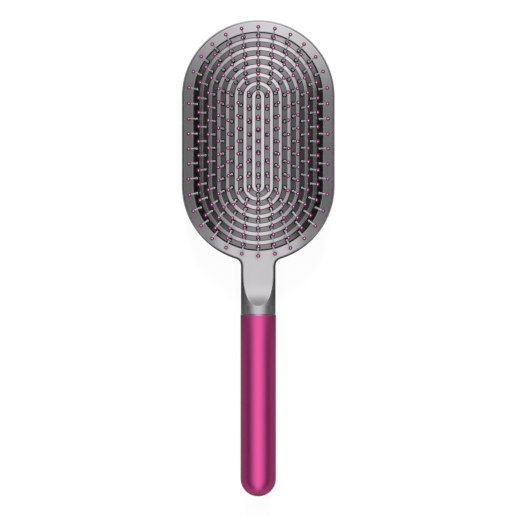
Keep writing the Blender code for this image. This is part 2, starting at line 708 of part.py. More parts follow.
def make_snap_ring(material):
    """The split ring that sits half in the spigot's groove and half in the tube's."""
    split = math.radians(SNAP_RING_SPLIT_DEGREES)
    steps = TURNED_SIDES - round(SNAP_RING_SPLIT_DEGREES * TURNED_SIDES / 360.0)
    near = JOINT_Y - SNAP_RING_SETBACK + SNAP_RING_WIDTH / 2
    far = near - SNAP_RING_WIDTH
    corners = ((SNAP_RING_INNER, near), (SNAP_RING_OUTER, near), (SNAP_RING_OUTER, far))
    corners += ((SNAP_RING_INNER, far),)
    sections = []
    for step in range(steps + 1):
        angle = split / 2 + (2.0 * math.pi - split) * step / steps
        across = Vector((math.cos(angle), math.sin(angle), 0.0))
        sections.append([across * radius + Vector((0.0, 0.0, height)) for radius, height in corners])
    shape = bmesh.new()
    skin(shape, sections)
    return finish("snap_ring", along_handle(shape), material)


def main():
    for existing in list(bpy.data.objects):
        bpy.data.objects.remove(existing, do_unlink=True)

    body_paint = finish_material("nickel_paint", *NICKEL_PAINT)
    handle_metal = finish_material("magenta_anodised", *MAGENTA_ANODISED)
    cushion_rubber = finish_material("cushion_rubber", *GREY_RUBBER)
    pin_nylon = finish_material("pin_nylon", *GREY_NYLON)
    frame_plastic = finish_material("frame_plastic", *BLACK_PLASTIC)
    steel = finish_material("steel", *BARE_STEEL)
    seal_rubber = finish_material("seal_rubber", *BLACK_RUBBER)

    ridges = ridge_radii()
    travel_origin = (0.0, HEAD_CENTRE_Y, FLANGE_BOTTOM_Z)
    screw_holes = helper("screw_holes", screw_hole_form())

    fixed = [make_paddle_body(body_paint, screw_holes)]
    fixed.append(make_back_plate(body_paint))
    fixed.append(make_cushion(cushion_rubber, ridges))
    fixed.append(make_clamp_frame(frame_plastic, screw_holes))
    fixed.extend(make_clamp_screws(steel))
    fixed.append(make_handle_tube(handle_metal))
    fixed.append(make_seal("spigot_seal_front", FRONT_SEAL_SETBACK, seal_rubber))
    fixed.append(make_seal("spigot_seal_rear", REAR_SEAL_SETBACK, seal_rubber))
    fixed.append(make_snap_ring(steel))
    moving = [make_pin_ring(ring, ridges, pin_nylon, travel_origin) for ring in range(len(ridges) + 1)]

    brush = bpy.data.objects.new("paddle_brush", None)
    bpy.context.scene.collection.objects.link(brush)
    for piece in fixed + moving:
        piece.parent = brush


main()
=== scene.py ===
# %% [markdown]
# # A paddle brush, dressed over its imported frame
# The frame holds the brush as it comes apart on a bench: a painted body, an air cushion, rings of
# ball-tipped pins, a back plate and a tube handle. This script gives those pieces their fine shapes and
# finishes. It never moves a piece of the frame: each new mesh is made where its solid lies, and rides on
# the same body.

# %% Tools and the frame
import json
import math

import bmesh
import bpy
from mathutils import Matrix, Vector

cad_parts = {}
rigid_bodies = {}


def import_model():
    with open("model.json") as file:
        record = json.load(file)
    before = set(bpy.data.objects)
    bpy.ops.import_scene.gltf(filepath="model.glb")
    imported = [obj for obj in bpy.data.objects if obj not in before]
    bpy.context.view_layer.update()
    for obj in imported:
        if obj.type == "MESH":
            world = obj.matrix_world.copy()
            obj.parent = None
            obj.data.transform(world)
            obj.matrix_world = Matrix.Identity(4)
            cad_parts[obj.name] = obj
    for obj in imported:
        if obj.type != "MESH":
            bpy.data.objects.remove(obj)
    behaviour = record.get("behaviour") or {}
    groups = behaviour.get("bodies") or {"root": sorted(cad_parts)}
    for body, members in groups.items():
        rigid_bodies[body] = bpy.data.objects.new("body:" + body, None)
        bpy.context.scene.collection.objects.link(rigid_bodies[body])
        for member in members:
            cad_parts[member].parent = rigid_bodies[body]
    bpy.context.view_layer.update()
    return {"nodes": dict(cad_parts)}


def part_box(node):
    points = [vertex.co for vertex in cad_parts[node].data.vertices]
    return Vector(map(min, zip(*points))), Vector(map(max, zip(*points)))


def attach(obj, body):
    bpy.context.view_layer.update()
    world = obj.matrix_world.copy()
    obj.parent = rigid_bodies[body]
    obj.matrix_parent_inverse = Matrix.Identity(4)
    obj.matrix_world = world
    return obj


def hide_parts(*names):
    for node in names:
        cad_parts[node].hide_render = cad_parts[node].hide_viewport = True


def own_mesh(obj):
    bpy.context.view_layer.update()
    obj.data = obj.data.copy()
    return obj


for leftover in list(bpy.data.objects):
    bpy.data.objects.remove(leftover, do_unlink=True)
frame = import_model()

# %% [markdown]
# ## Sizes
# Outer sizes and places are read from the boxes of the solids, so the looks follow the frame. Only what a
# box can't tell, such as the rim's slope or a ridge's height, is written here, in millimetres times MM.

# %% Sizes
MM = 0.001
body_low, body_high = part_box("paddle_body")
plate_low, plate_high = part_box("back_plate")
tube_low, tube_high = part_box("handle_tube")
pad_low, pad_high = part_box("cushion")

FIT_GAP = 0.3 * MM
HEAD_RADIUS = body_high.x
PLATE_RADIUS = plate_high.x
UPPER_CENTRE = Vector((0.0, plate_high.y - PLATE_RADIUS, 0.0))
LOWER_CENTRE = Vector((0.0, plate_low.y + PLATE_RADIUS, 0.0))
HEAD_CENTRE_Y = (UPPER_CENTRE.y + LOWER_CENTRE.y) / 2
MIDDLE_LINE = UPPER_CENTRE.y - LOWER_CENTRE.y
HANDLE_RADIUS = tube_high.x
AXIS_Z = (tube_low.z + tube_high.z) / 2
JOINT_Y = tube_high.y + FIT_GAP
NECK_RADIUS = body_high.z - AXIS_Z
FACE_Z = AXIS_Z + 5.0 * MM
OPENING_RADIUS = HEAD_RADIUS - 6.0 * MM
print("head %.1f mm wide, handle %.1f mm thick" % (HEAD_RADIUS * 2 / MM, HANDLE_RADIUS * 2 / MM))

# %% [markdown]
# ## Mesh helpers
# Nearly every surface here is a run of loops joined by bands of quads. Loops that meet exactly are welded
# afterwards, so a piece can be skinned in patches and still end as one closed shell.

# %% Mesh helpers
WELD = 0.002 * MM
SHARP_ANGLE = math.radians(35.0)
ARC_STEPS = 56


def stadium(distance, height, steps=ARC_STEPS):
    """Loop of points at one distance from the head's middle line."""
    points = []
    for centre, start in ((UPPER_CENTRE, 0.0), (LOWER_CENTRE, math.pi)):
        for step in range(steps + 1):
            angle = start + math.pi * step / steps
            points.append(centre + Vector((distance * math.cos(angle), distance * math.sin(angle), height)))
    return points


def ring(radius, y, sides):
    """Loop of points round the handle's axis."""
    turns = [2.0 * math.pi * side / sides for side in range(sides)]
    return [Vector((radius * math.cos(turn), y, AXIS_Z + radius * math.sin(turn))) for turn in turns]


def skin(shape, loops, closed=True, cap_first=False, cap_last=False):
    """Join loops of equal length by bands of quads, and return the rows of vertices."""
    rows = [[shape.verts.new(point) for point in loop] for loop in loops]
    count = len(rows[0])
    for first, second in zip(rows, rows[1:]):
        for here in range(count if closed else count - 1):
            after = (here + 1) % count
            shape.faces.new((first[here], first[after], second[after], second[here]))
    if cap_first:
        shape.faces.new(rows[0][::-1])
    if cap_last:
        shape.faces.new(rows[-1])
    return rows


def settle(name, shape, *finishes):
    """Weld a shape into one closed mesh, face it outwards and make it a named piece at the origin."""
    bmesh.ops.remove_doubles(shape, verts=shape.verts, dist=WELD)
    bmesh.ops.dissolve_degenerate(shape, edges=shape.edges, dist=WELD / 2)
    bmesh.ops.recalc_face_normals(shape, faces=shape.faces)
    open_edges = sum(1 for edge in shape.edges if len(edge.link_faces) != 2)
    mesh = bpy.data.meshes.new(name)
    shape.to_mesh(mesh)
    shape.free()
    mesh.shade_smooth()
    mesh.set_sharp_from_angle(angle=SHARP_ANGLE)
    for finish in finishes:
        mesh.materials.append(finish)
    piece = bpy.data.objects.new(name, mesh)
    bpy.context.scene.collection.objects.link(piece)
    mesh.calc_loop_triangles()
    print(name, len(mesh.loop_triangles), "triangles,", open_edges, "open edges")
    return piece


def smooth_share(value):
    """Ease from 0 to 1 as value goes from 0 to 1."""
    value = min(max(value, 0.0), 1.0)
    return value * value * (3.0 - 2.0 * value)


# %% [markdown]
# ## Shared effects
# Paint, anodised metal and rubber all carry a fine grain and a slow, cloudy change in gloss from
# handling. Both effects are node groups, built once. They put out only values that change over the
# surface, and each material decides what to do with them.

# %% Shared effects
GRAIN_DETAIL = 2.0
CLOUD_SCALE = 90.0
CLOUD_DETAIL = 3.0


def add_node(tree, kind, **settings):
    """Add a node to a tree and set its properties."""
    made = tree.nodes.new(kind)
    for name, value in settings.items():
        setattr(made, name, value)
    return made


def grain_group():
    """Fine grain: a shade around 1 for colour, and a height for a bump."""
    tree = bpy.data.node_groups.new("fine_grain", "ShaderNodeTree")
    tree.interface.new_socket("Vector", in_out="INPUT", socket_type="NodeSocketVector")
    for name in ("Scale", "Contrast"):
        tree.interface.new_socket(name, in_out="INPUT", socket_type="NodeSocketFloat")
    for name in ("Shade", "Height"):
        tree.interface.new_socket(name, in_out="OUTPUT", socket_type="NodeSocketFloat")
    inlet = add_node(tree, "NodeGroupInput")
    outlet = add_node(tree, "NodeGroupOutput")
    speck = add_node(tree, "ShaderNodeTexNoise")
    speck.inputs["Detail"].default_value = GRAIN_DETAIL
    tree.links.new(inlet.outputs["Vector"], speck.inputs["Vector"])
    tree.links.new(inlet.outputs["Scale"], speck.inputs["Scale"])
    centred = add_node(tree, "ShaderNodeMath", operation="SUBTRACT")
    centred.inputs[1].default_value = 0.5
    tree.links.new(speck.outputs["Fac"], centred.inputs[0])
    shade = add_node(tree, "ShaderNodeMath", operation="MULTIPLY_ADD")
    shade.inputs[2].default_value = 1.0
    tree.links.new(centred.outputs[0], shade.inputs[0])
    tree.links.new(inlet.outputs["Contrast"], shade.inputs[1])
    tree.links.new(shade.outputs[0], outlet.inputs["Shade"])
    tree.links.new(speck.outputs["Fac"], outlet.inputs["Height"])
    return tree


def handling_group():
    """Handling: slow clouds that change the roughness a little around its base value."""
    tree = bpy.data.node_groups.new("handling", "ShaderNodeTree")
    tree.interface.new_socket("Vector", in_out="INPUT", socket_type="NodeSocketVector")
    for name in ("Roughness", "Spread"):
        tree.interface.new_socket(name, in_out="INPUT", socket_type="NodeSocketFloat")
    tree.interface.new_socket("Roughness", in_out="OUTPUT", socket_type="NodeSocketFloat")
    inlet = add_node(tree, "NodeGroupInput")
    outlet = add_node(tree, "NodeGroupOutput")
    cloud = add_node(tree, "ShaderNodeTexNoise")
    cloud.inputs["Scale"].default_value = CLOUD_SCALE
    cloud.inputs["Detail"].default_value = CLOUD_DETAIL
    tree.links.new(inlet.outputs["Vector"], cloud.inputs["Vector"])
    centred = add_node(tree, "ShaderNodeMath", operation="SUBTRACT")
    centred.inputs[1].default_value = 0.5
    tree.links.new(cloud.outputs["Fac"], centred.inputs[0])
    rough = add_node(tree, "ShaderNodeMath", operation="MULTIPLY_ADD")
    tree.links.new(centred.outputs[0], rough.inputs[0])
    tree.links.new(inlet.outputs["Spread"], rough.inputs[1])
    tree.links.new(inlet.outputs["Roughness"], rough.inputs[2])
    tree.links.new(rough.outputs[0], outlet.inputs["Roughness"])
    return tree


FINE_GRAIN = grain_group()
HANDLING = handling_group()
print("shared effects:", FINE_GRAIN.name, HANDLING.name)

# %% [markdown]
# ## Finishes
# Every finish is one Principled shader. The grain darkens and lightens its colour and feeds a slight
# bump, and the handling clouds shift its roughness. What differs is colour, metal share, grain size and
# depth.

# %% A finish from the shared effects


def make_finish(name, colour, metallic, roughness, grain, contrast, bump, spread=0.06):
    """A Principled material whose colour, roughness and normal carry the shared effects."""
    finish = bpy.data.materials.new(name)
    finish.use_nodes = True
    tree = finish.node_tree
    shader = tree.nodes["Principled BSDF"]
    shader.inputs["Metallic"].default_value = metallic
    place = add_node(tree, "ShaderNodeTexCoord")
    speckle = add_node(tree, "ShaderNodeGroup", node_tree=FINE_GRAIN)
    speckle.inputs["Scale"].default_value = grain
    speckle.inputs["Contrast"].default_value = contrast
    tree.links.new(place.outputs["Object"], speckle.inputs["Vector"])
    tint = add_node(tree, "ShaderNodeVectorMath", operation="SCALE", label="tint")
    tint.inputs[0].default_value = colour
    tree.links.new(speckle.outputs["Shade"], tint.inputs["Scale"])
    tree.links.new(tint.outputs[0], shader.inputs["Base Color"])
    wear_and_light = add_node(tree, "ShaderNodeGroup", node_tree=HANDLING)
    wear_and_light.inputs["Roughness"].default_value = roughness
    wear_and_light.inputs["Spread"].default_value = spread
    tree.links.new(place.outputs["Object"], wear_and_light.inputs["Vector"])
    tree.links.new(wear_and_light.outputs["Roughness"], shader.inputs["Roughness"])
    relief = add_node(tree, "ShaderNodeBump")
    relief.inputs["Strength"].default_value = 1.0
    relief.inputs["Distance"].default_value = bump
    tree.links.new(speckle.outputs["Height"], relief.inputs["Height"])
    tree.links.new(relief.outputs["Normal"], shader.inputs["Normal"])
    return finish


def blend_tint(finish, factor, low, high):
    """Mix the finish's colour from low to high by a factor, before the grain."""
    tree = finish.node_tree
    tint = next(node for node in tree.nodes if node.label == "tint")
    blend = add_node(tree, "ShaderNodeMix", data_type="RGBA")
    blend.inputs["A"].default_value = (*low, 1.0)
    blend.inputs["B"].default_value = (*high, 1.0)
    tree.links.new(factor, blend.inputs["Factor"])
    tree.links.new(blend.outputs["Result"], tint.inputs[0])


def tint_by_height(finish, attribute, low, high):
    """Mix the finish's colour from low to high by an attribute of the mesh."""
    reading = add_node(finish.node_tree, "ShaderNodeAttribute", attribute_name=attribute)
    blend_tint(finish, reading.outputs["Fac"], low, high)


def dull_by_wear(finish, attribute, whole, wear_and_light):
    """Lower the finish's metallic share where an attribute of the mesh says that it is scuffed."""
    tree = finish.node_tree
    reading = add_node(tree, "ShaderNodeAttribute", attribute_name=attribute)
    share = add_node(tree, "ShaderNodeMapRange")
    share.inputs["To Min"].default_value = whole
    share.inputs["To Max"].default_value = wear_and_light
    tree.links.new(reading.outputs["Fac"], share.inputs["Value"])
    tree.links.new(share.outputs["Result"], tree.nodes["Principled BSDF"].inputs["Metallic"])


def highlight_by_facing(finish, middle, edge):
    """Mix the finish's colour from where it faces the eye to where it turns away: a painted highlight in the
    middle.
    """
    turned = add_node(finish.node_tree, "ShaderNodeLayerWeight")
    turned.inputs["Blend"].default_value = FACING_BLEND
    blend_tint(finish, turned.outputs["Facing"], middle, edge)


# %% The brush's finishes
NICKEL = (0.58, 0.565, 0.58)
# Paler nickel: a painted highlight along the head's front edge and the scoop's U.
HIGHLIGHT_NICKEL = (0.95, 0.93, 0.95)
SCUFFED_METAL_SHARE = 0.78
# Groove grey against ridge grey is painted shade in the cushion's grooves and on the strips that lie in them.
GROOVE_GREY = (0.26, 0.25, 0.26)
RIDGE_GREY = (0.66, 0.64, 0.66)
OUTER_GREY = (0.58, 0.56, 0.58)
# Shafts are painted lighter towards the root, as painted light.
PIN_ROOT_GREY = (0.36, 0.353, 0.36)
PIN_TIP_GREY = (0.30, 0.296, 0.30)
# The ball's pale middle is a painted highlight.
TIP_HIGHLIGHT = (1.0, 0.86, 0.95)
TIP_EDGE = (0.24, 0.011, 0.135)
FACING_BLEND = 0.98
BOOT_SHEEN = 0.1

nickel_paint = make_finish("nickel_paint", NICKEL, 1.0, 0.22, 5200.0, 0.12, 0.001 * MM)
# Painted highlight: the edge value lightens the paint along the edges.
tint_by_height(nickel_paint, "edge", NICKEL, HIGHLIGHT_NICKEL)
dull_by_wear(nickel_paint, "scuff", 1.0, SCUFFED_METAL_SHARE)
magenta_metal = make_finish("magenta_metal", (0.84, 0.097, 0.352), 0.97, 0.34, 3800.0, 0.20, 0.004 * MM)
cut_metal = make_finish("cut_metal", (0.80, 0.36, 0.55), 1.0, 0.30, 3800.0, 0.20, 0.002 * MM)
cushion_rubber = make_finish("cushion_rubber", GROOVE_GREY, 1.0, 0.17, 2600.0, 0.16, 0.004 * MM)
# Painted shade: the grooves coloured darker than the ridge tops.
tint_by_height(cushion_rubber, "ridge", GROOVE_GREY, RIDGE_GREY)
strip_rubber = make_finish("strip_rubber", GROOVE_GREY, 1.0, 0.17, 2600.0, 0.16, 0.004 * MM)
# Painted light: the outermost strip turns from groove grey to outer grey towards the top of the head.
tint_by_height(strip_rubber, "wear_and_light", GROOVE_GREY, OUTER_GREY)
pin_grey = make_finish("pin_grey", PIN_ROOT_GREY, 0.0, 0.24, 3000.0, 0.10, 0.001 * MM)
# Painted light: the shaft's colour lightens from tip to root.
tint_by_height(pin_grey, "reach", PIN_ROOT_GREY, PIN_TIP_GREY)
tip_magenta = make_finish("tip_magenta", TIP_EDGE, 0.70, 0.24, 3000.0, 0.10, 0.0)
# Painted highlight: the ball turns pale where it faces the eye.
highlight_by_facing(tip_magenta, TIP_HIGHLIGHT, TIP_EDGE)
# Boot wall: dark rubber made near-black with little sheen, partly painted shade round each root; the pale foot
# is a painted highlight.
boot_rubber_and_shade = make_finish("boot_rubber_and_shade", (0.010, 0.0098, 0.010), 0.0, 0.45, 2600.0, 0.12, 0.002 * MM)
foot_highlight = make_finish("foot_highlight", (0.90, 0.88, 0.90), 0.6, 0.20, 2600.0, 0.12, 0.002 * MM)
boot_rubber_and_shade.node_tree.nodes["Principled BSDF"].inputs["Specular IOR Level"].default_value = BOOT_SHEEN
frame_plastic = make_finish("frame_plastic", (0.05, 0.05, 0.055), 0.0, 0.52, 1500.0, 0.30, 0.010 * MM)
bare_steel = make_finish("bare_steel", (0.56, 0.57, 0.58), 1.0, 0.33, 3000.0, 0.15, 0.002 * MM)
seal_rubber = make_finish("seal_rubber", (0.03, 0.03, 0.03), 0.0, 0.68, 1800.0, 0.30, 0.006 * MM)
print("finishes:", len(bpy.data.materials))

# %% [markdown]
# ## The painted body: its outline
# The head, its rim and the neck are one moulding. Seen from the front its outline is a stadium with a
# neck that runs out of it through two small fillets. It could be cut from a block with Booleans, but on a
# glossy rim the cuts' uneven triangles show. So the outline is walked station by station, and a section
# is set at each one.

# %% Outline of the body
NECK_FILLET = 4.0 * MM
FACE_BLEND = 12.0 * MM
BACK_BLEND = 18.0 * MM
SCOOP_RADIUS = 33.0 * MM
SCOOP_TO_JOINT = 4.4 * MM
COLLAR_CHAMFER = 0.06 * MM
NECK_ROWS = 56
FILLET_STEPS = 12
HEAD_STEPS = 60


def direction(angle):
    """Unit vector in the plan."""
    return Vector((math.cos(angle), math.sin(angle), 0.0))


def outline_stations():
    """Right half of the outline, from the handle joint to the top of the head.

    A station is a point, the direction into the body, how much of the neck's section there is at the face and
    at the back, and on the head the arc's centre and the direction from it.
    """
    fillet_x = NECK_RADIUS + NECK_FILLET
    fillet_y = LOWER_CENTRE.y - math.sqrt((HEAD_RADIUS + NECK_FILLET) ** 2 - fillet_x ** 2)
    fillet_centre = Vector((fillet_x, fillet_y, 0.0))
    leave = fillet_centre - LOWER_CENTRE
    leave_angle = math.atan2(leave.y, leave.x)
    head_start_y = LOWER_CENTRE.y + HEAD_RADIUS * math.sin(leave_angle)

    def back_share(y):
        return smooth_share((head_start_y - y) / BACK_BLEND)

    stations = []
    tip_y = JOINT_Y + SCOOP_TO_JOINT
    rows = [tip_y + (fillet_y - tip_y) * (row / NECK_ROWS) ** 2 for row in range(NECK_ROWS + 1)]
    for y in [JOINT_Y + COLLAR_CHAMFER] + rows:
        stations.append((Vector((NECK_RADIUS, y, 0.0)), direction(math.pi), 1.0, back_share(y), None))
    end_angle = leave_angle + math.pi
    for step in range(1, FILLET_STEPS):
        inward = direction(math.pi + (end_angle - math.pi) * step / FILLET_STEPS)
        point = fillet_centre + inward * NECK_FILLET
        stations.append((point, inward, 1.0, back_share(point.y), None))
    for step in range(HEAD_STEPS + 1):
        outward = direction(leave_angle * (1.0 - step / HEAD_STEPS))
        point = LOWER_CENTRE + outward * HEAD_RADIUS
        face_share = 1.0 - smooth_share((point.y - head_start_y) / FACE_BLEND)
        stations.append((point, -outward, face_share, 0.0, (LOWER_CENTRE, outward)))
    for step in range(HEAD_STEPS + 1):
        outward = direction(math.pi / 2 * step / HEAD_STEPS)
        stations.append((UPPER_CENTRE + outward * HEAD_RADIUS, -outward, 0.0, 0.0, (UPPER_CENTRE, outward)))
    return stations


STATIONS = outline_stations()
HEAD_FROM = next(index for index, station in enumerate(STATIONS) if station[4] is not None)
print("outline:", len(STATIONS), "stations,", HEAD_FROM, "of them on the neck")

# %% [markdown]
# ## The painted body: its sections
# On the head the section is a slab with a rounded front edge and a tighter round at the back. On the neck
# it is a circle whose top is cut by the scooped flat. A small round where the flat meets the circle gives
# the bright line that runs along the scoop's U. Both sections have the same number of points, so they can
# be blended. Near the head the neck's upper half is squared a little.

# %% Sections of the body
RIM_DROP = 0.65 * MM
RIM_EDGE_RADIUS = 1.3 * MM
BACK_EDGE_WIDTH = 1.2 * MM
BACK_EDGE_HEIGHT = 2.8 * MM
SCOOP_EDGE_RADIUS = 0.50 * MM
NECK_SQUARING = 0.66
SQUARING_FROM_Y = -17.5 * MM
SQUARING_REACH = 11.5 * MM
EDGE_STEPS = 8
SIDE_STEPS = 6
BACK_STEPS = 14
UNDERSIDE_GAP = math.radians(5.0)


def scoop_height(y):
    """Height of the neck's flat, which curves up into the round collar before the handle."""
    rise = AXIS_Z + NECK_RADIUS - FACE_Z
    run = math.sqrt(rise * (2.0 * SCOOP_RADIUS - rise))
    along = min(max(JOINT_Y + SCOOP_TO_JOINT + run - y, 0.0), run)
    return FACE_Z + SCOOP_RADIUS - math.sqrt(SCOOP_RADIUS ** 2 - along ** 2)


def head_section():
    """Edge of the head as (inset, height) points, from the rim's face round to the flat back."""
    top = FACE_Z - RIM_DROP
    points = []
    for step in range(EDGE_STEPS + 1):
        angle = math.pi / 2 * step / EDGE_STEPS
        drop = RIM_EDGE_RADIUS * (1.0 - math.cos(angle))
        points.append((RIM_EDGE_RADIUS * (1.0 - math.sin(angle)), top - drop))
    side_top = top - RIM_EDGE_RADIUS
    for step in range(1, SIDE_STEPS):
        points.append((0.0, side_top + (BACK_EDGE_HEIGHT - side_top) * step / SIDE_STEPS))
    for step in range(BACK_STEPS + 1):
        angle = math.pi / 2 * step / BACK_STEPS
        inset = BACK_EDGE_WIDTH * (1.0 - math.cos(angle))
        points.append((inset, BACK_EDGE_HEIGHT * (1.0 - math.sin(angle))))
    return points


def neck_section(y):
    """The round neck under its flat as (inset, height) points, from the flat's edge to the underside."""
    round_z = scoop_height(y) - AXIS_Z - SCOOP_EDGE_RADIUS
    round_reach = NECK_RADIUS - SCOOP_EDGE_RADIUS
    round_x = math.sqrt(max(round_reach ** 2 - round_z ** 2, 0.0))
    meet = math.atan2(round_z, round_x)
    points = []
    for step in range(EDGE_STEPS):
        angle = math.pi / 2 + (meet - math.pi / 2) * step / EDGE_STEPS
        x = round_x + SCOOP_EDGE_RADIUS * math.cos(angle)
        points.append((NECK_RADIUS - x, AXIS_Z + round_z + SCOOP_EDGE_RADIUS * math.sin(angle)))
    last = -math.pi / 2 + UNDERSIDE_GAP
    around = SIDE_STEPS + BACK_STEPS
    for step in range(around + 1):
        angle = meet + (last - meet) * step / around
        points.append((NECK_RADIUS * (1.0 - math.cos(angle)), AXIS_Z + NECK_RADIUS * math.sin(angle)))
    power = 1.0 + (NECK_SQUARING - 1.0) * smooth_share((y - SQUARING_FROM_Y) / SQUARING_REACH)
    squared = []
    for inset, height in points:
        reach = 1.0 - inset / NECK_RADIUS
        squared.append((NECK_RADIUS * (1.0 - reach ** power) if height > AXIS_Z else inset, height))
    return squared


def body_rows():
    """One row of points per station, from the face's edge round to the back's edge."""
    slab = head_section()
    rows = []
    for point, inward, face_share, back_share, _ in STATIONS:
        row = []
        for index, (flat, rounded) in enumerate(zip(slab, neck_section(point.y))):
            share = face_share + (back_share - face_share) * index / (len(slab) - 1)
            inset = flat[0] + (rounded[0] - flat[0]) * share
            height = flat[1] + (rounded[1] - flat[1]) * share
            row.append(point + inward * inset + Vector((0.0, 0.0, height)))
        rows.append(row)
    return rows


BODY_ROWS = body_rows()
print("sections:", len(BODY_ROWS[0]), "points each")

# %% [markdown]
# ## The painted body: the shell
# The neck is skinned with closed loops, and the head with its sides, the sloping rim, and then a run of
# loops down the inside: opening, flange pocket, chamber, ledge and the pocket of the back plate. The
# spigot that goes into the tube grows out of the neck's first loop. Welded together they are one closed
# shell. Two values on its points tell the finish where the edges get a painted highlight, a paler paint
# along the scoop's U and the head's front edge, and where those at the scoop are scuffed.

# %% Shell of the body
ACROSS_STEPS = 14
RIM_SHARES = (0.0, 0.03, 0.2, 0.5, 0.8, 0.97, 1.0)
RIM_INNER_ROUND = 0.2 * MM
ROUND_STEPS = 5
LIP_UNDER_Z = FACE_Z - 1.8 * MM
FLANGE_POCKET_RADIUS = pad_high.x + FIT_GAP
CLAMP_SEAT_Z = pad_low.z
CHAMBER_RADIUS = HEAD_RADIUS - 1.9 * MM
POCKET_RADIUS = PLATE_RADIUS + FIT_GAP
LEDGE_RADIUS = POCKET_RADIUS - 0.9 * MM
LEDGE_UNDER_Z = 2.1 * MM
LEDGE_TOP_Z = 3.7 * MM
POCKET_CHAMFER = 0.15 * MM
HIGHLIGHT_POINTS = slice(1, EDGE_STEPS - 2)
SCUFF_FROM_Y = -9.0 * MM
SCUFF_REACH = 6.0 * MM


def mirrored(point):
    """The same point on the other side of the brush."""
    return Vector((-point.x, point.y, point.z))


def across(point):
    """Points from the right side over to the left, closer together near both edges."""
    shares = [(1.0 - math.cos(math.pi * step / ACROSS_STEPS)) / 2 for step in range(ACROSS_STEPS + 1)]
    return [point.lerp(mirrored(point), share) for share in shares]


def neck_loop(row):
    """Closed loop round the neck: right side, underside, left side and flat."""
    left = [mirrored(point) for point in row[::-1]]
    return row + across(row[-1])[1:-1] + left + across(row[0])[-2:0:-1]


def round_head(corner):
    """Closed loop round the head through one corner of every section there, and over the neck's root."""
    right = [row[corner] for row in BODY_ROWS[HEAD_FROM:]]
    left = [mirrored(point) for point in right[-2::-1]]
    return right + left + across(right[0])[-2:0:-1]


def head_spokes():
    """Arc centre and direction for each point of a loop round the head."""
    right = [station[4] for station in STATIONS[HEAD_FROM:]]
    left = [(centre, mirrored(outward)) for centre, outward in right[-2::-1]]
    root = [(LOWER_CENTRE, point.normalized()) for point in across(right[0][1])[-2:0:-1]]
    return right + left + root


def spoke_loop(distance, height):
    """Loop round the head at one distance from its middle line."""
    return [centre + outward * distance + Vector((0.0, 0.0, height)) for centre, outward in head_spokes()]


# %% Inside of the head and the spigot
SPIGOT_RADIUS = HANDLE_RADIUS - 1.5 * MM
SPIGOT_END_Y = body_low.y
SPIGOT_CHAMFER = 1.0 * MM
GROOVE_DEPTH = 1.3 * MM
SEAL_GROOVE_WIDTH = 1.7 * MM
SNAP_GROOVE_WIDTH = 1.8 * MM


def middle_y(node):
    """Middle of a node along the handle."""
    low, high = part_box(node)
    return (low.y + high.y) / 2


def inside_profile():
    """(distance, height) points from the rim's inner edge down to the back plate's pocket."""
    points = []
    for step in range(ROUND_STEPS + 1):
        angle = math.pi / 2 * step / ROUND_STEPS
        distance = OPENING_RADIUS + RIM_INNER_ROUND * (1.0 - math.sin(angle))
        points.append((distance, FACE_Z - RIM_INNER_ROUND * (1.0 - math.cos(angle))))
    points += [(OPENING_RADIUS, LIP_UNDER_Z), (FLANGE_POCKET_RADIUS, LIP_UNDER_Z)]
    points += [(FLANGE_POCKET_RADIUS, CLAMP_SEAT_Z), (CHAMBER_RADIUS, CLAMP_SEAT_Z)]
    points += [(CHAMBER_RADIUS, LEDGE_TOP_Z), (LEDGE_RADIUS, LEDGE_TOP_Z), (LEDGE_RADIUS, LEDGE_UNDER_Z)]
    points += [(POCKET_RADIUS, LEDGE_UNDER_Z), (POCKET_RADIUS, POCKET_CHAMFER)]
    points += [(POCKET_RADIUS + POCKET_CHAMFER, 0.0)]
    return points


def spigot_profile():
    """(radius, y) points from the collar's end out to the spigot's end, with grooves for seals and snap ring."""
    points = [(NECK_RADIUS - COLLAR_CHAMFER, JOINT_Y), (SPIGOT_RADIUS, JOINT_Y)]
    grooves = (("spigot_seal_front", SEAL_GROOVE_WIDTH), ("snap_ring", SNAP_GROOVE_WIDTH))
    grooves += (("spigot_seal_rear", SEAL_GROOVE_WIDTH),)
    for node, width in grooves:
        near = middle_y(node) + width / 2
        far = near - width
        floor = SPIGOT_RADIUS - GROOVE_DEPTH
        points += [(SPIGOT_RADIUS, near), (floor, near), (floor, far), (SPIGOT_RADIUS, far)]
    points.append((SPIGOT_RADIUS, SPIGOT_END_Y + SPIGOT_CHAMFER))
    return points + [(SPIGOT_RADIUS - SPIGOT_CHAMFER, SPIGOT_END_Y)]


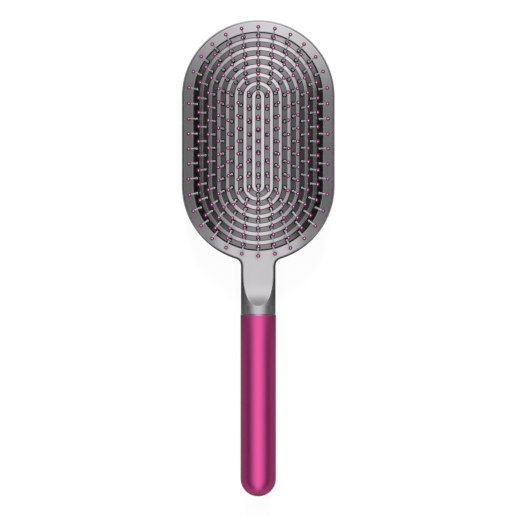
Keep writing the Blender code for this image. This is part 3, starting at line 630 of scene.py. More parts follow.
def make_body():
    """The painted body as one closed shell."""
    shape = bmesh.new()
    neck = [neck_loop(row) for row in BODY_ROWS[:HEAD_FROM + 1]]
    collar = neck[0]
    spigot = []
    for radius, y in spigot_profile():
        loop = []
        for point in collar:
            spoke = Vector((point.x, 0.0, point.z - AXIS_Z)) * (radius / NECK_RADIUS)
            loop.append(Vector((spoke.x, y, AXIS_Z + spoke.z)))
        spigot.append(loop)
    skin(shape, spigot[::-1] + neck, cap_first=True)

    right = BODY_ROWS[HEAD_FROM:]
    skin(shape, right, closed=False)
    skin(shape, [[mirrored(point) for point in row] for row in right], closed=False)

    edge = round_head(0)
    crest = spoke_loop(OPENING_RADIUS + RIM_INNER_ROUND, FACE_Z)
    rim = [[low.lerp(high, share) for low, high in zip(edge, crest)] for share in RIM_SHARES]
    inside = [spoke_loop(distance, height) for distance, height in inside_profile()]
    skin(shape, rim + inside[1:] + [round_head(-1)])

    # The edge values mark where the paint carries a painted highlight; the scuff values follow them at the
    # scoop.
    edge_highlight_layer = shape.verts.layers.float.new("edge")
    scuff_layer = shape.verts.layers.float.new("scuff")
    edged = [row for row in BODY_ROWS if row[0].x > SCOOP_EDGE_RADIUS or row is BODY_ROWS[-1]]
    wear_and_light = {tuple(point) for row in edged for point in row[HIGHLIGHT_POINTS]}
    for vertex in shape.verts:
        vertex[edge_highlight_layer] = float((abs(vertex.co.x), vertex.co.y, vertex.co.z) in wear_and_light)
        vertex[scuff_layer] = vertex[edge_highlight_layer] * smooth_share((SCUFF_FROM_Y - vertex.co.y) / SCUFF_REACH)
    return settle("paddle_shell", shape, nickel_paint)


paddle_shell = make_body()

# %% [markdown]
# ## The back plate
# A plain plate closes the back and snaps over a ledge inside the head. It is painted like the body. A
# vent lets the air out when the cushion is pressed. The plate is swept round the same stadium, with a
# fine chamfer where it meets the body, and only the vent is cut with a Boolean, in a flat face, whose
# edges are then set sharp so that no uneven shading shows.

# %% Back plate
PLATE_CHAMFER = 0.2 * MM
PLATE_THICKNESS = 1.8 * MM
SKIRT_RADIUS = LEDGE_RADIUS - FIT_GAP
SKIRT_THICKNESS = 1.2 * MM
BEAD = 0.6 * MM
BEAD_UNDER_Z = LEDGE_TOP_Z + FIT_GAP
VENT_RADIUS = 1.0 * MM
VENT_RIM = 0.25 * MM
VENT_Y = body_high.y - 20.0 * MM
VENT_SIDES = 32
VENT_SHARP_ANGLE = math.radians(25.0)


def make_plate():
    """The back plate with its skirt, bead and vent."""
    inner = SKIRT_RADIUS - SKIRT_THICKNESS
    profile = (
        (PLATE_RADIUS - 4 * PLATE_CHAMFER, 0.0), (PLATE_RADIUS - PLATE_CHAMFER, 0.0),
        (PLATE_RADIUS, PLATE_CHAMFER),
        (PLATE_RADIUS, PLATE_THICKNESS), (SKIRT_RADIUS, PLATE_THICKNESS), (SKIRT_RADIUS, BEAD_UNDER_Z),
        (SKIRT_RADIUS + BEAD, BEAD_UNDER_Z), (SKIRT_RADIUS, plate_high.z), (inner, plate_high.z),
        (inner, PLATE_THICKNESS),
    )
    shape = bmesh.new()
    skin(shape, [stadium(distance, height) for distance, height in profile], cap_first=True, cap_last=True)
    plate = settle("back_cover", shape, nickel_paint)

    drill = bmesh.new()
    steps = (
        (VENT_RADIUS + 2 * VENT_RIM, -VENT_RIM), (VENT_RADIUS, VENT_RIM),
        (VENT_RADIUS, 2 * PLATE_THICKNESS),
    )
    loops = []
    for radius, height in steps:
        turns = [2.0 * math.pi * side / VENT_SIDES for side in range(VENT_SIDES)]
        loops.append([Vector((0.0, VENT_Y, height)) + direction(turn) * radius for turn in turns])
    skin(drill, loops, cap_first=True, cap_last=True)
    cutter = settle("vent_drill", drill)
    cut = plate.modifiers.new("vent", "BOOLEAN")
    cut.operation = "DIFFERENCE"
    cut.object = cutter
    cut.solver = "EXACT"
    whole = bpy.data.meshes.new_from_object(plate.evaluated_get(bpy.context.evaluated_depsgraph_get()))
    plate.modifiers.clear()
    whole.set_sharp_from_angle(angle=VENT_SHARP_ANGLE)
    plate.data = whole
    bpy.data.objects.remove(cutter, do_unlink=True)
    return plate


back_cover = make_plate()

# %% [markdown]
# ## The handle
# The handle is a drawn aluminium tube with a closed, domed end, blasted and anodised magenta. Its mouth
# has a small chamfer that catches the light as a thin pink line. A tube is a turned shape, so a profile
# is spun round the handle's axis: the blind bore first, then the mouth, then the outside.

# %% Handle tube
TUBE_SIDES = 112
DOME_STEPS = 28
TUBE_WALL = 1.2 * MM
MOUTH_SEAM = 0.05 * MM
MOUTH_CUT = 0.75 * MM
MOUTH_CUT_DEPTH = 0.2 * MM
BORE_GROOVE_DEPTH = 0.6 * MM


def make_tube():
    """The tube as one closed shell, from the bottom of its bore round to the tip of its dome."""
    bore = HANDLE_RADIUS - TUBE_WALL
    mouth_y = JOINT_Y - MOUTH_SEAM
    dome_y = tube_low.y + HANDLE_RADIUS
    groove_near = middle_y("snap_ring") + SNAP_GROOVE_WIDTH / 2
    groove_far = groove_near - SNAP_GROOVE_WIDTH
    quarter = [math.pi / 2 * step / DOME_STEPS for step in range(DOME_STEPS + 1)]
    profile = [(bore * math.sin(angle), dome_y - bore * math.cos(angle)) for angle in quarter[1:]]
    profile += [(bore, groove_far), (bore + BORE_GROOVE_DEPTH, groove_far)]
    profile += [(bore + BORE_GROOVE_DEPTH, groove_near), (bore, groove_near), (bore, mouth_y)]
    profile += [(HANDLE_RADIUS - MOUTH_CUT_DEPTH, mouth_y), (HANDLE_RADIUS, mouth_y - MOUTH_CUT)]
    profile += [(HANDLE_RADIUS, mouth_y - 2 * MM)]
    for angle in quarter[:-1]:
        profile.append((HANDLE_RADIUS * math.cos(angle), dome_y - HANDLE_RADIUS * math.sin(angle)))
    shape = bmesh.new()
    rows = skin(shape, [ring(radius, y, TUBE_SIDES) for radius, y in profile])
    for face in shape.faces:
        if min(vertex.co.y for vertex in face.verts) > mouth_y - MOUTH_CUT - WELD:
            face.material_index = 1
    for row, tip_y in ((rows[0], dome_y - bore), (rows[-1], tube_low.y)):
        tip = shape.verts.new((0.0, tip_y, AXIS_Z))
        for here, corner in enumerate(row):
            shape.faces.new((corner, row[(here + 1) % TUBE_SIDES], tip))
    return settle("tube_sleeve", shape, magenta_metal, cut_metal)


tube_sleeve = make_tube()

# %% [markdown]
# ## The air cushion
# The cushion is a moulded rubber membrane over a chamber of air. Seven rounded ridges run round it in
# ever larger stadiums, and its edge is clamped under the rim. A cloth simulation would blur those moulded
# ridges, so the cushion is swept from one profile that follows a shallow dome. Each point keeps how far
# up a ridge it is, and the finish uses that to lighten the ridge tops and darken the grooves: painted
# shade in the grooves between the ridges.

# %% Profile of the cushion
CUSHION_EDGE_RADIUS = OPENING_RADIUS - 0.5 * MM
CUSHION_EDGE_Z = FACE_Z - 1.6 * MM
CUSHION_EDGE_DROP = 0.2 * MM
DOME_RISE = 3.6 * MM
RIDGE_COUNT = 7
FIRST_RIDGE = 2.35 * MM
RIDGE_PITCH = 4.6 * MM
RIDGE_HALF_WIDTH = 0.92 * MM
RIDGE_HEIGHT = 1.8 * MM
RIDGE_ROUND = 0.16 * MM
RIDGE_FOOT = 0.12 * MM
RIDGE_TOP_EDGE = 0.06 * MM
RIDGE_STEPS = 5
FLANGE_TOP_Z = LIP_UNDER_Z - FIT_GAP
FLANGE_INNER = pad_high.x - 4.0 * MM
MEMBRANE = 1.3 * MM
UNDERSIDE_SHARES = (0.92, 0.8, 0.67, 0.55, 0.42, 0.3, 0.17, 0.05)


def groove_floor(distance):
    """Height of the grooves: a shallow dome over the distance from the middle line."""
    return CUSHION_EDGE_Z + DOME_RISE * (1.0 - (distance / CUSHION_EDGE_RADIUS) ** 2)


def ridge_outline():
    """Inner half of a ridge's section as (offset, lift) points: foot, wall and rounded top."""
    points = [(-RIDGE_HALF_WIDTH - RIDGE_FOOT, 0.0)]
    for step in range(RIDGE_STEPS + 1):
        angle = math.pi / 2 * (1.0 - step / RIDGE_STEPS)
        foot_x = -RIDGE_HALF_WIDTH - RIDGE_FOOT * (1.0 - math.cos(angle))
        points.append((foot_x, RIDGE_FOOT * (1.0 - math.sin(angle))))
    for step in range(RIDGE_STEPS + 1):
        angle = math.pi / 2 * step / RIDGE_STEPS
        top_x = -RIDGE_HALF_WIDTH + RIDGE_ROUND * (1.0 - math.cos(angle))
        points.append((top_x, RIDGE_HEIGHT - RIDGE_ROUND * (1.0 - math.sin(angle))))
    points.append((points[-1][0] + RIDGE_TOP_EDGE, RIDGE_HEIGHT))
    return points[1:]


def cushion_profile():
    """(distance, height, share up a ridge) points, from the middle out, over the edge and back underneath."""
    half = ridge_outline()
    section = half + [(-offset, lift) for offset, lift in half[::-1]]
    points = []
    for index in range(RIDGE_COUNT):
        for offset, lift in section:
            distance = FIRST_RIDGE + RIDGE_PITCH * index + offset
            points.append((distance, groove_floor(distance) + lift, lift / RIDGE_HEIGHT))
    shoulder = CUSHION_EDGE_RADIUS - CUSHION_EDGE_DROP
    points.append((shoulder, groove_floor(shoulder), 0.0))
    points.append((CUSHION_EDGE_RADIUS, CUSHION_EDGE_Z - CUSHION_EDGE_DROP, 0.0))
    points += [(CUSHION_EDGE_RADIUS, FLANGE_TOP_Z, 0.0), (pad_high.x, FLANGE_TOP_Z, 0.0)]
    points += [(pad_high.x, pad_low.z, 0.0), (FLANGE_INNER, pad_low.z, 0.0)]
    for share in UNDERSIDE_SHARES:
        distance = FLANGE_INNER * share
        points.append((distance, groove_floor(distance) - MEMBRANE, 0.0))
    return points


def make_cushion():
    """The cushion as one closed membrane with its ridge share on every point."""
    shape = bmesh.new()
    ridge = shape.verts.layers.float.new("ridge")
    profile = cushion_profile()
    loops = [stadium(distance, height) for distance, height, _ in profile]
    rows = skin(shape, loops, cap_first=True, cap_last=True)
    for row, (_, _, share) in zip(rows, profile):
        for vertex in row:
            vertex[ridge] = share
    # Faces below the cushion's edge get near-black rubber: a painted shadow in the gap under the rim.
    for face in shape.faces:
        if max(vertex.co.z for vertex in face.verts) < CUSHION_EDGE_Z - CUSHION_EDGE_DROP / 2:
            face.material_index = 1
    return settle("air_cushion", shape, cushion_rubber, seal_rubber)


air_cushion = make_cushion()

# %% [markdown]
# ## The pins
# The pins are ball-tipped, tapered, and fan out from the middle of the head. Each ring of them moves with
# the groove that it stands in. Two hundred pins are work for Geometry Nodes: the tree gets a strip of
# rubber and one loose point per pin, which knows its lean and the strip's slope. It puts a pin and a dark
# boot with a pale foot on each point, turns them, makes them real, and sets the finishes. The boot's
# near-black wall is partly painted shade round the root, and its pale top is a painted highlight. The
# shafts are painted lighter towards the root, and the balls' middles carry a painted highlight. A little
# seeded scatter in the lean keeps them from looking like print.

# %% Tree for the pins
FINISH_NUMBERS = {"shaft": 1, "ball": 2, "boot": 3, "foot": 4}
PIN_SIZES = (
    ("Pin length", 15.8 * MM),
    ("Base radius", 0.45 * MM),
    ("Neck radius", 0.36 * MM),
    ("Root flare", 0.20 * MM),
    ("Ball radius", 1.05 * MM),
    ("Boot radius", 1.24 * MM),
    ("Boot top radius", 0.56 * MM),
    ("Boot height", 0.65 * MM),
    ("Scatter", 0.010),
)
SHAFT_SIDES = 8
SHAFT_SEGMENTS = 5
BALL_SEGMENTS = 10
BALL_RINGS = 6
BOOT_SIDES = 14
ROOT_GATHER = 2.0
FLARE_FALL = 7.0


def numbered(tree, geometry, number, chosen=None):
    """Store on every face, or on the chosen ones, which finish it gets."""
    store = add_node(tree, "GeometryNodeStoreNamedAttribute", data_type="INT", domain="FACE")
    store.inputs["Name"].default_value = "finish"
    store.inputs["Value"].default_value = number
    if chosen:
        tree.links.new(chosen, store.inputs["Selection"])
    tree.links.new(geometry, store.inputs["Geometry"])
    return store.outputs["Geometry"]


def calc(tree, operation, *values):
    """A Math node whose inputs are sockets or numbers."""
    made = add_node(tree, "ShaderNodeMath", operation=operation)
    for slot, value in zip(made.inputs, values):
        if isinstance(value, (int, float)):
            slot.default_value = value
        else:
            tree.links.new(value, slot)
    return made.outputs[0]


def shaft_mesh(tree, sizes):
    """A cylinder whose rings are gathered at the root, and narrowed from the flared root to the neck."""
    blank = add_node(tree, "GeometryNodeMeshCone")
    blank.inputs["Vertices"].default_value = SHAFT_SIDES
    blank.inputs["Side Segments"].default_value = SHAFT_SEGMENTS
    blank.inputs["Radius Top"].default_value = 1.0
    blank.inputs["Radius Bottom"].default_value = 1.0
    blank.inputs["Depth"].default_value = 1.0
    place = add_node(tree, "GeometryNodeInputPosition")
    parts = add_node(tree, "ShaderNodeSeparateXYZ")
    tree.links.new(place.outputs[0], parts.inputs[0])
    along = parts.outputs["Z"]
    height = calc(tree, "POWER", along, ROOT_GATHER)
    taper = calc(tree, "SUBTRACT", sizes["Base radius"], sizes["Neck radius"])
    straight = calc(tree, "MULTIPLY_ADD", taper, calc(tree, "SUBTRACT", 1.0, height), sizes["Neck radius"])
    swell = calc(tree, "POWER", calc(tree, "SUBTRACT", 1.0, along), FLARE_FALL)
    radius = calc(tree, "MULTIPLY_ADD", sizes["Root flare"], swell, straight)
    moved = add_node(tree, "ShaderNodeCombineXYZ")
    tree.links.new(calc(tree, "MULTIPLY", parts.outputs["X"], radius), moved.inputs["X"])
    tree.links.new(calc(tree, "MULTIPLY", parts.outputs["Y"], radius), moved.inputs["Y"])
    tree.links.new(calc(tree, "MULTIPLY", height, sizes["Pin length"]), moved.inputs["Z"])
    shaped = add_node(tree, "GeometryNodeSetPosition")
    tree.links.new(moved.outputs[0], shaped.inputs["Position"])
    # The reach along the shaft lets the finish paint the shaft lighter near the root, as painted light.
    reach = add_node(tree, "GeometryNodeStoreNamedAttribute", data_type="FLOAT", domain="POINT")
    reach.inputs["Name"].default_value = "reach"
    tree.links.new(along, reach.inputs["Value"])
    tree.links.new(blank.outputs["Mesh"], reach.inputs["Geometry"])
    tree.links.new(reach.outputs["Geometry"], shaped.inputs["Geometry"])
    return numbered(tree, shaped.outputs["Geometry"], FINISH_NUMBERS["shaft"])


def ball_mesh(tree, sizes):
    """The ball on the pin's tip."""
    ball = add_node(tree, "GeometryNodeMeshUVSphere")
    ball.inputs["Segments"].default_value = BALL_SEGMENTS
    ball.inputs["Rings"].default_value = BALL_RINGS
    tree.links.new(sizes["Ball radius"], ball.inputs["Radius"])
    lift = add_node(tree, "ShaderNodeCombineXYZ")
    tree.links.new(sizes["Pin length"], lift.inputs["Z"])
    raised = add_node(tree, "GeometryNodeTransform")
    tree.links.new(ball.outputs["Mesh"], raised.inputs["Geometry"])
    tree.links.new(lift.outputs[0], raised.inputs["Translation"])
    return numbered(tree, raised.outputs["Geometry"], FINISH_NUMBERS["ball"])


def boot_mesh(tree, sizes):
    """The low cone of rubber round a pin's root: a dark wall, partly painted shade round the root, and a pale
    top that is a painted highlight on the pin's foot.
    """
    cone = add_node(tree, "GeometryNodeMeshCone")
    cone.inputs["Vertices"].default_value = BOOT_SIDES
    tree.links.new(sizes["Boot radius"], cone.inputs["Radius Bottom"])
    tree.links.new(sizes["Boot top radius"], cone.inputs["Radius Top"])
    tree.links.new(sizes["Boot height"], cone.inputs["Depth"])
    boot = numbered(tree, cone.outputs["Mesh"], FINISH_NUMBERS["boot"])
    return numbered(tree, boot, FINISH_NUMBERS["foot"], cone.outputs["Top"])


def stand_on(tree, points, geometry, vector):
    """Put a copy of a shape on every point, with its Z axis along a vector."""
    turn = add_node(tree, "FunctionNodeAlignRotationToVector", axis="Z")
    tree.links.new(vector, turn.inputs["Vector"])
    copies = add_node(tree, "GeometryNodeInstanceOnPoints")
    tree.links.new(points, copies.inputs["Points"])
    tree.links.new(geometry, copies.inputs["Instance"])
    tree.links.new(turn.outputs["Rotation"], copies.inputs["Rotation"])
    return copies.outputs["Instances"]


def named(tree, name, kind):
    """Read an attribute of the points."""
    reading = add_node(tree, "GeometryNodeInputNamedAttribute", data_type=kind)
    reading.inputs["Name"].default_value = name
    return reading.outputs["Attribute"]


# %% Tree for the pins, put together


def pin_tree():
    """Geometry Nodes tree that turns a strip with loose feet into a ring of pins."""
    tree = bpy.data.node_groups.new("ring_of_pins", "GeometryNodeTree")
    tree.interface.new_socket("Geometry", in_out="INPUT", socket_type="NodeSocketGeometry")
    for name, _ in PIN_SIZES:
        tree.interface.new_socket(name, in_out="INPUT", socket_type="NodeSocketFloat")
    tree.interface.new_socket("Seed", in_out="INPUT", socket_type="NodeSocketInt")
    tree.interface.new_socket("Geometry", in_out="OUTPUT", socket_type="NodeSocketGeometry")
    inlet = add_node(tree, "NodeGroupInput")
    outlet = add_node(tree, "NodeGroupOutput")
    sizes = {name: inlet.outputs[name] for name, _ in PIN_SIZES}

    split = add_node(tree, "GeometryNodeSeparateGeometry", domain="POINT")
    tree.links.new(inlet.outputs["Geometry"], split.inputs["Geometry"])
    tree.links.new(named(tree, "foot", "BOOLEAN"), split.inputs["Selection"])
    feet = split.outputs["Selection"]
    strip = split.outputs["Inverted"]

    scatter = add_node(tree, "FunctionNodeRandomValue", data_type="FLOAT_VECTOR")
    low = calc(tree, "MULTIPLY", sizes["Scatter"], -1.0)
    tree.links.new(low, scatter.inputs["Min"])
    tree.links.new(sizes["Scatter"], scatter.inputs["Max"])
    tree.links.new(inlet.outputs["Seed"], scatter.inputs["Seed"])
    lean = add_node(tree, "ShaderNodeVectorMath", operation="ADD")
    tree.links.new(named(tree, "lean", "FLOAT_VECTOR"), lean.inputs[0])
    tree.links.new(scatter.outputs["Value"], lean.inputs[1])

    pin = add_node(tree, "GeometryNodeJoinGeometry")
    tree.links.new(shaft_mesh(tree, sizes), pin.inputs[0])
    tree.links.new(ball_mesh(tree, sizes), pin.inputs[0])
    whole = add_node(tree, "GeometryNodeJoinGeometry")
    tree.links.new(strip, whole.inputs[0])
    tree.links.new(stand_on(tree, feet, pin.outputs[0], lean.outputs[0]), whole.inputs[0])
    slope = named(tree, "slope", "FLOAT_VECTOR")
    tree.links.new(stand_on(tree, feet, boot_mesh(tree, sizes), slope), whole.inputs[0])

    real = add_node(tree, "GeometryNodeRealizeInstances")
    tree.links.new(whole.outputs[0], real.inputs[0])
    smooth = add_node(tree, "GeometryNodeSetShadeSmooth")
    tree.links.new(real.outputs[0], smooth.inputs[0])
    round_part = add_node(tree, "FunctionNodeCompare", data_type="INT", operation="LESS_THAN")
    counts = [slot for slot in round_part.inputs if slot.type == "INT"]
    tree.links.new(named(tree, "finish", "INT"), counts[0])
    counts[1].default_value = FINISH_NUMBERS["boot"]
    tree.links.new(round_part.outputs[0], smooth.inputs["Selection"])
    last = smooth.outputs[0]
    finishes = ((strip_rubber, 0), (pin_grey, FINISH_NUMBERS["shaft"]), (tip_magenta, FINISH_NUMBERS["ball"]))
    finishes += ((boot_rubber_and_shade, FINISH_NUMBERS["boot"]), (foot_highlight, FINISH_NUMBERS["foot"]))
    for finish, number in finishes:
        paint = add_node(tree, "GeometryNodeSetMaterial")
        paint.inputs["Material"].default_value = finish
        tree.links.new(last, paint.inputs["Geometry"])
        if number:
            match = add_node(tree, "FunctionNodeCompare", data_type="INT", operation="EQUAL")
            whole_numbers = [slot for slot in match.inputs if slot.type == "INT"]
            tree.links.new(named(tree, "finish", "INT"), whole_numbers[0])
            whole_numbers[1].default_value = number
            tree.links.new(match.outputs[0], paint.inputs["Selection"])
        last = paint.outputs["Geometry"]
    tree.links.new(last, outlet.inputs["Geometry"])
    return tree


PIN_TREE = pin_tree()
print("pin tree:", len(PIN_TREE.nodes), "nodes")

# %% [markdown]
# ## Strips and feet
# A pin's foot is found by walking round its groove in equal steps from the top of the head. The pins lean
# away from the middle line like a fan, and the inner ones also towards the head's ends. The strip that
# joins a ring's pins fills the groove between two ridges, with a seam too fine to see. Its top tilts a
# little, and the outermost strip is painted paler towards the top of the head, as painted light.

# %% Strips and feet
PIN_COUNTS = (9, 18, 24, 26, 32, 34, 36, 38)
FAN_ACROSS = 116.0 * MM
FAN_ALONG = 180.0 * MM
FAN_FADE = 38.0 * MM
STRIP_SEAM = 0.04 * MM
STRIP_GAP = 0.14 * MM
STRIP_INNER = RIDGE_HALF_WIDTH + STRIP_GAP - RIDGE_PITCH / 2
STRIP_OUTER = RIDGE_PITCH / 2 - RIDGE_HALF_WIDTH - STRIP_SEAM
STRIP_THICKNESS = 0.6 * MM
STRIP_ROUND = 0.15 * MM
STRIP_TILT = 0.035
OUTER_STRIP_TILT = 0.055
STRIP_TOP_EDGE = 0.06 * MM
STRIP_LIGHT_REACH = 25.0 * MM
CENTRE_STRIP_RADIUS = FIRST_RIDGE - RIDGE_HALF_WIDTH - STRIP_SEAM


def walk_stadium(distance, travel):
    """Point at a share of the way round a stadium from its top, and the outward direction there."""
    arc = math.pi * distance / 2
    around = 4 * arc + 2 * MIDDLE_LINE
    along = (travel % 1.0) * around
    if along > around / 2:
        point, outward = walk_stadium(distance, 1.0 - travel % 1.0)
        return mirrored(point), mirrored(outward)
    if along <= arc:
        outward = direction(math.pi / 2 - along / distance)
        return UPPER_CENTRE + outward * distance, outward
    if along <= arc + MIDDLE_LINE:
        outward = Vector((1.0, 0.0, 0.0))
        return UPPER_CENTRE + outward * distance - Vector((0.0, along - arc, 0.0)), outward
    outward = direction(-(along - arc - MIDDLE_LINE) / distance)
    return LOWER_CENTRE + outward * distance, outward


def strip_shape(ring_number):
    """The strip of rubber under one ring of pins."""
    shape = bmesh.new()
    if ring_number == 0:
        bottom = groove_floor(0.0) + FIT_GAP
        top = bottom + STRIP_THICKNESS
        edge = CENTRE_STRIP_RADIUS
        profile = ((edge, bottom), (edge, top - STRIP_ROUND), (edge - STRIP_ROUND, top))
        skin(shape, [stadium(distance, height) for distance, height in profile], cap_first=True, cap_last=True)
        return shape
    middle = FIRST_RIDGE + RIDGE_PITCH * (ring_number - 0.5)
    near, far = STRIP_INNER, STRIP_OUTER
    shoulder = STRIP_THICKNESS - STRIP_ROUND
    corners = [(near, 0.0), (far, 0.0), (far, shoulder)]
    for inset in (STRIP_ROUND, STRIP_ROUND + STRIP_TOP_EDGE):
        corners.append((far - inset, STRIP_THICKNESS))
    for inset in (STRIP_ROUND + STRIP_TOP_EDGE, STRIP_ROUND):
        corners.append((near + inset, STRIP_THICKNESS))
    corners += [(near, shoulder), (near, 0.0)]
    tilt = OUTER_STRIP_TILT if ring_number == RIDGE_COUNT else STRIP_TILT
    loops = []
    for offset, lift in corners:
        height = groove_floor(middle + offset) + FIT_GAP + lift - offset * tilt * lift / STRIP_THICKNESS
        loops.append(stadium(middle + offset, height))
    skin(shape, loops)
    return shape


def ring_feet(ring_number):
    """(foot, slope of the strip) for each pin of a ring."""
    count = PIN_COUNTS[ring_number]
    top = groove_floor(0.0) + FIT_GAP + STRIP_THICKNESS
    if ring_number == 0:
        step = (UPPER_CENTRE - LOWER_CENTRE) / (count - 1)
        up = Vector((0.0, 0.0, 1.0))
        return [(LOWER_CENTRE + step * index + up * top, up) for index in range(count)]
    middle = FIRST_RIDGE + RIDGE_PITCH * (ring_number - 0.5)
    fall = 2.0 * DOME_RISE * middle / CUSHION_EDGE_RADIUS ** 2
    height = groove_floor(middle) + FIT_GAP + STRIP_THICKNESS
    feet = []
    for index in range(count):
        point, outward = walk_stadium(middle, index / count)
        slope = (outward * fall + Vector((0.0, 0.0, 1.0))).normalized()
        feet.append((Vector((point.x, point.y, height)), slope))
    return feet


# %% Rings of pins
PIN_SEED = 11


def pin_lean(foot):
    """Direction of a pin: away from the middle line, and in the inner rings also along it."""
    nearest_y = min(max(foot.y, LOWER_CENTRE.y), UPPER_CENTRE.y)
    away = Vector((foot.x, foot.y - nearest_y, 0.0))
    share = max(1.0 - away.length / FAN_FADE, 0.0)
    along = Vector((0.0, nearest_y - HEAD_CENTRE_Y, 0.0)) * (share / FAN_ALONG)
    return away / FAN_ACROSS + along + Vector((0.0, 0.0, 1.0))


def make_pins(ring_number):
    """One ring of pins with its strip, as a plain mesh made by the tree."""
    name = "ball_pins_centre" if ring_number == 0 else "ball_pins_%d" % ring_number
    shape = strip_shape(ring_number)
    bmesh.ops.remove_doubles(shape, verts=shape.verts, dist=WELD)
    bmesh.ops.recalc_face_normals(shape, faces=shape.faces)
    painted_light_layer = shape.verts.layers.float.new("wear_and_light")
    # Painted light: a share that pales the outermost strip towards the top of the head.
    if ring_number == RIDGE_COUNT:
        for vertex in shape.verts:
            vertex[painted_light_layer] = smooth_share((vertex.co.y - UPPER_CENTRE.y) / STRIP_LIGHT_REACH)
    foot_layer = shape.verts.layers.bool.new("foot")
    lean_layer = shape.verts.layers.float_vector.new("lean")
    slope_layer = shape.verts.layers.float_vector.new("slope")
    for foot, slope in ring_feet(ring_number):
        vertex = shape.verts.new(foot)
        vertex[foot_layer] = True
        vertex[lean_layer] = pin_lean(foot)
        vertex[slope_layer] = slope
    mesh = bpy.data.meshes.new(name)
    shape.to_mesh(mesh)
    shape.free()
    pins = bpy.data.objects.new(name, mesh)
    bpy.context.scene.collection.objects.link(pins)
    nodes = pins.modifiers.new("pins", "NODES")
    nodes.node_group = PIN_TREE
    inputs = {item.name: item.identifier for item in PIN_TREE.interface.items_tree if item.in_out == "INPUT"}
    for size, value in PIN_SIZES:
        nodes[inputs[size]] = value
    nodes[inputs["Seed"]] = PIN_SEED + ring_number
    evaluated = pins.evaluated_get(bpy.context.evaluated_depsgraph_get())
    pins.data = bpy.data.meshes.new_from_object(evaluated)
    pins.modifiers.clear()
    pins.data.set_sharp_from_angle(angle=SHARP_ANGLE)
    pins.data.calc_loop_triangles()
    print(name, PIN_COUNTS[ring_number], "pins,", len(pins.data.loop_triangles), "triangles")
    return pins


pin_rings = [make_pins(ring_number) for ring_number in range(RIDGE_COUNT + 1)]

# %% [markdown]
# ## Riding on the frame
# Every piece rides on the body that its solid belongs to, and takes that solid's place. The cushion gets
# a mesh of its own.

# %% Riding on the frame
for piece, node, slot in (
    (paddle_shell, "paddle_body", "body"),
    (back_cover, "back_plate", "body"),
    (tube_sleeve, "handle_tube", "handle"),
    (air_cushion, "cushion", "cushion"),
):
    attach(piece, "paddle")
    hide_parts(node)

for ring_number, pins in enumerate(pin_rings):
    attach(pins, "ring_%d_pins" % ring_number if ring_number else "centre_pins")
    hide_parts("pin_ring_%d" % ring_number if ring_number else "pin_row_centre")

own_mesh(air_cushion)

# %% [markdown]
# ## Pieces inside
# The clamp frame, its screws, the seals and the snap ring are hidden in the closed brush. Their solids
# have the right shapes, so they stay and only get finishes.

# %% Pieces inside
INSIDE_FINISHES = {"clamp_frame": frame_plastic, "snap_ring": bare_steel}
INSIDE_FINISHES.update({"spigot_seal_front": seal_rubber, "spigot_seal_rear": seal_rubber})
for node in frame["nodes"]:
    if node.startswith("clamp_screw"):
        INSIDE_FINISHES[node] = bare_steel
for node, finish in INSIDE_FINISHES.items():
    frame["nodes"][node].data.materials.clear()
    frame["nodes"][node].data.materials.append(finish)
print("finished inside:", len(INSIDE_FINISHES), "nodes")

# %% [markdown]
# ## Studio
# The brush lies on a white sweep under two softboxes: a wide one high over the head, and a low one over
# the handle and collar. Each is brightest along its middle and dim to both sides. That gives the flat rim
# its change from dark sides to bright ends, and the tube one broad highlight. A glowing plane makes such
# a box with soft borders, which an area lamp can't. Two far lamps, which mirrors don't see, model the
# pins and their boots.

# %% Softboxes
HEAD_BOX_HEIGHT = 0.40
HEAD_BOX_HALF = (1.2, 1.2)
HEAD_SPREADS = (0.107, 0.175)
SPREAD_RAMP = (0.03, 0.24)
HEAD_STRENGTHS = (1.10, 1.30)
HEAD_RAMP = (0.06, 0.24)
FADE_RAMP = (0.22, 0.40)
FADE_TO = 0.40
LEAN_X = 0.030
LEAN_RAMP = (0.05, 0.18)
HEAD_HAZE = 0.12
HAZE_SPREAD = 0.25

HANDLE_BOX_HEIGHT = 0.065
HANDLE_BOX_ENDS = (tube_low.y - 0.25, JOINT_Y + 0.0174)
HANDLE_BOX_HALF = 0.25
HANDLE_SPREADS = (0.042, 0.047)
COLLAR_RAMP = (JOINT_Y - 0.0015, JOINT_Y + 0.001)
HANDLE_STRENGTHS = (0.97, 0.50)
HANDLE_FILLS = (0.06, 0.44)
FILL_SPREAD = 0.40
FILL_TINT = (0.93, 0.95, 1.32, 1.0)

KEY_ENERGY = 10.0
KEY_SOFTNESS = math.radians(20.0)
KEY_HEIGHT = math.radians(30.0)
COUNTER_ENERGY = 3.5
COUNTER_SOFTNESS = math.radians(30.0)
COUNTER_HEIGHT = math.radians(35.0)


def ramp(tree, value, span, levels):
    """Ease from one level to another as a value crosses a span."""
    made = add_node(tree, "ShaderNodeMapRange", interpolation_type="SMOOTHSTEP")
    for slot, number in zip(("From Min", "From Max", "To Min", "To Max"), (*span, *levels)):
        made.inputs[slot].default_value = number
    tree.links.new(value, made.inputs["Value"])
    return made.outputs["Result"]


def bell(tree, offset, spread):
    """Bell curve: 1 in the middle, falling off with the offset over the spread."""
    share = calc(tree, "DIVIDE", offset, spread)
    return calc(tree, "POWER", math.e, calc(tree, "MULTIPLY", calc(tree, "MULTIPLY", share, share), -1.0))


def glowing(name):
    """An empty glow: its material, tree, places across and along the brush, and strength inlet."""
    glow = bpy.data.materials.new(name)
    glow.use_nodes = True
    tree = glow.node_tree
    tree.nodes.remove(tree.nodes["Principled BSDF"])
    place = add_node(tree, "ShaderNodeTexCoord")
    parts = add_node(tree, "ShaderNodeSeparateXYZ")
    tree.links.new(place.outputs["Object"], parts.inputs[0])
    light = add_node(tree, "ShaderNodeEmission")
    tree.links.new(light.outputs[0], tree.nodes["Material Output"].inputs["Surface"])
    return glow, tree, parts.outputs["X"], parts.outputs["Y"], light


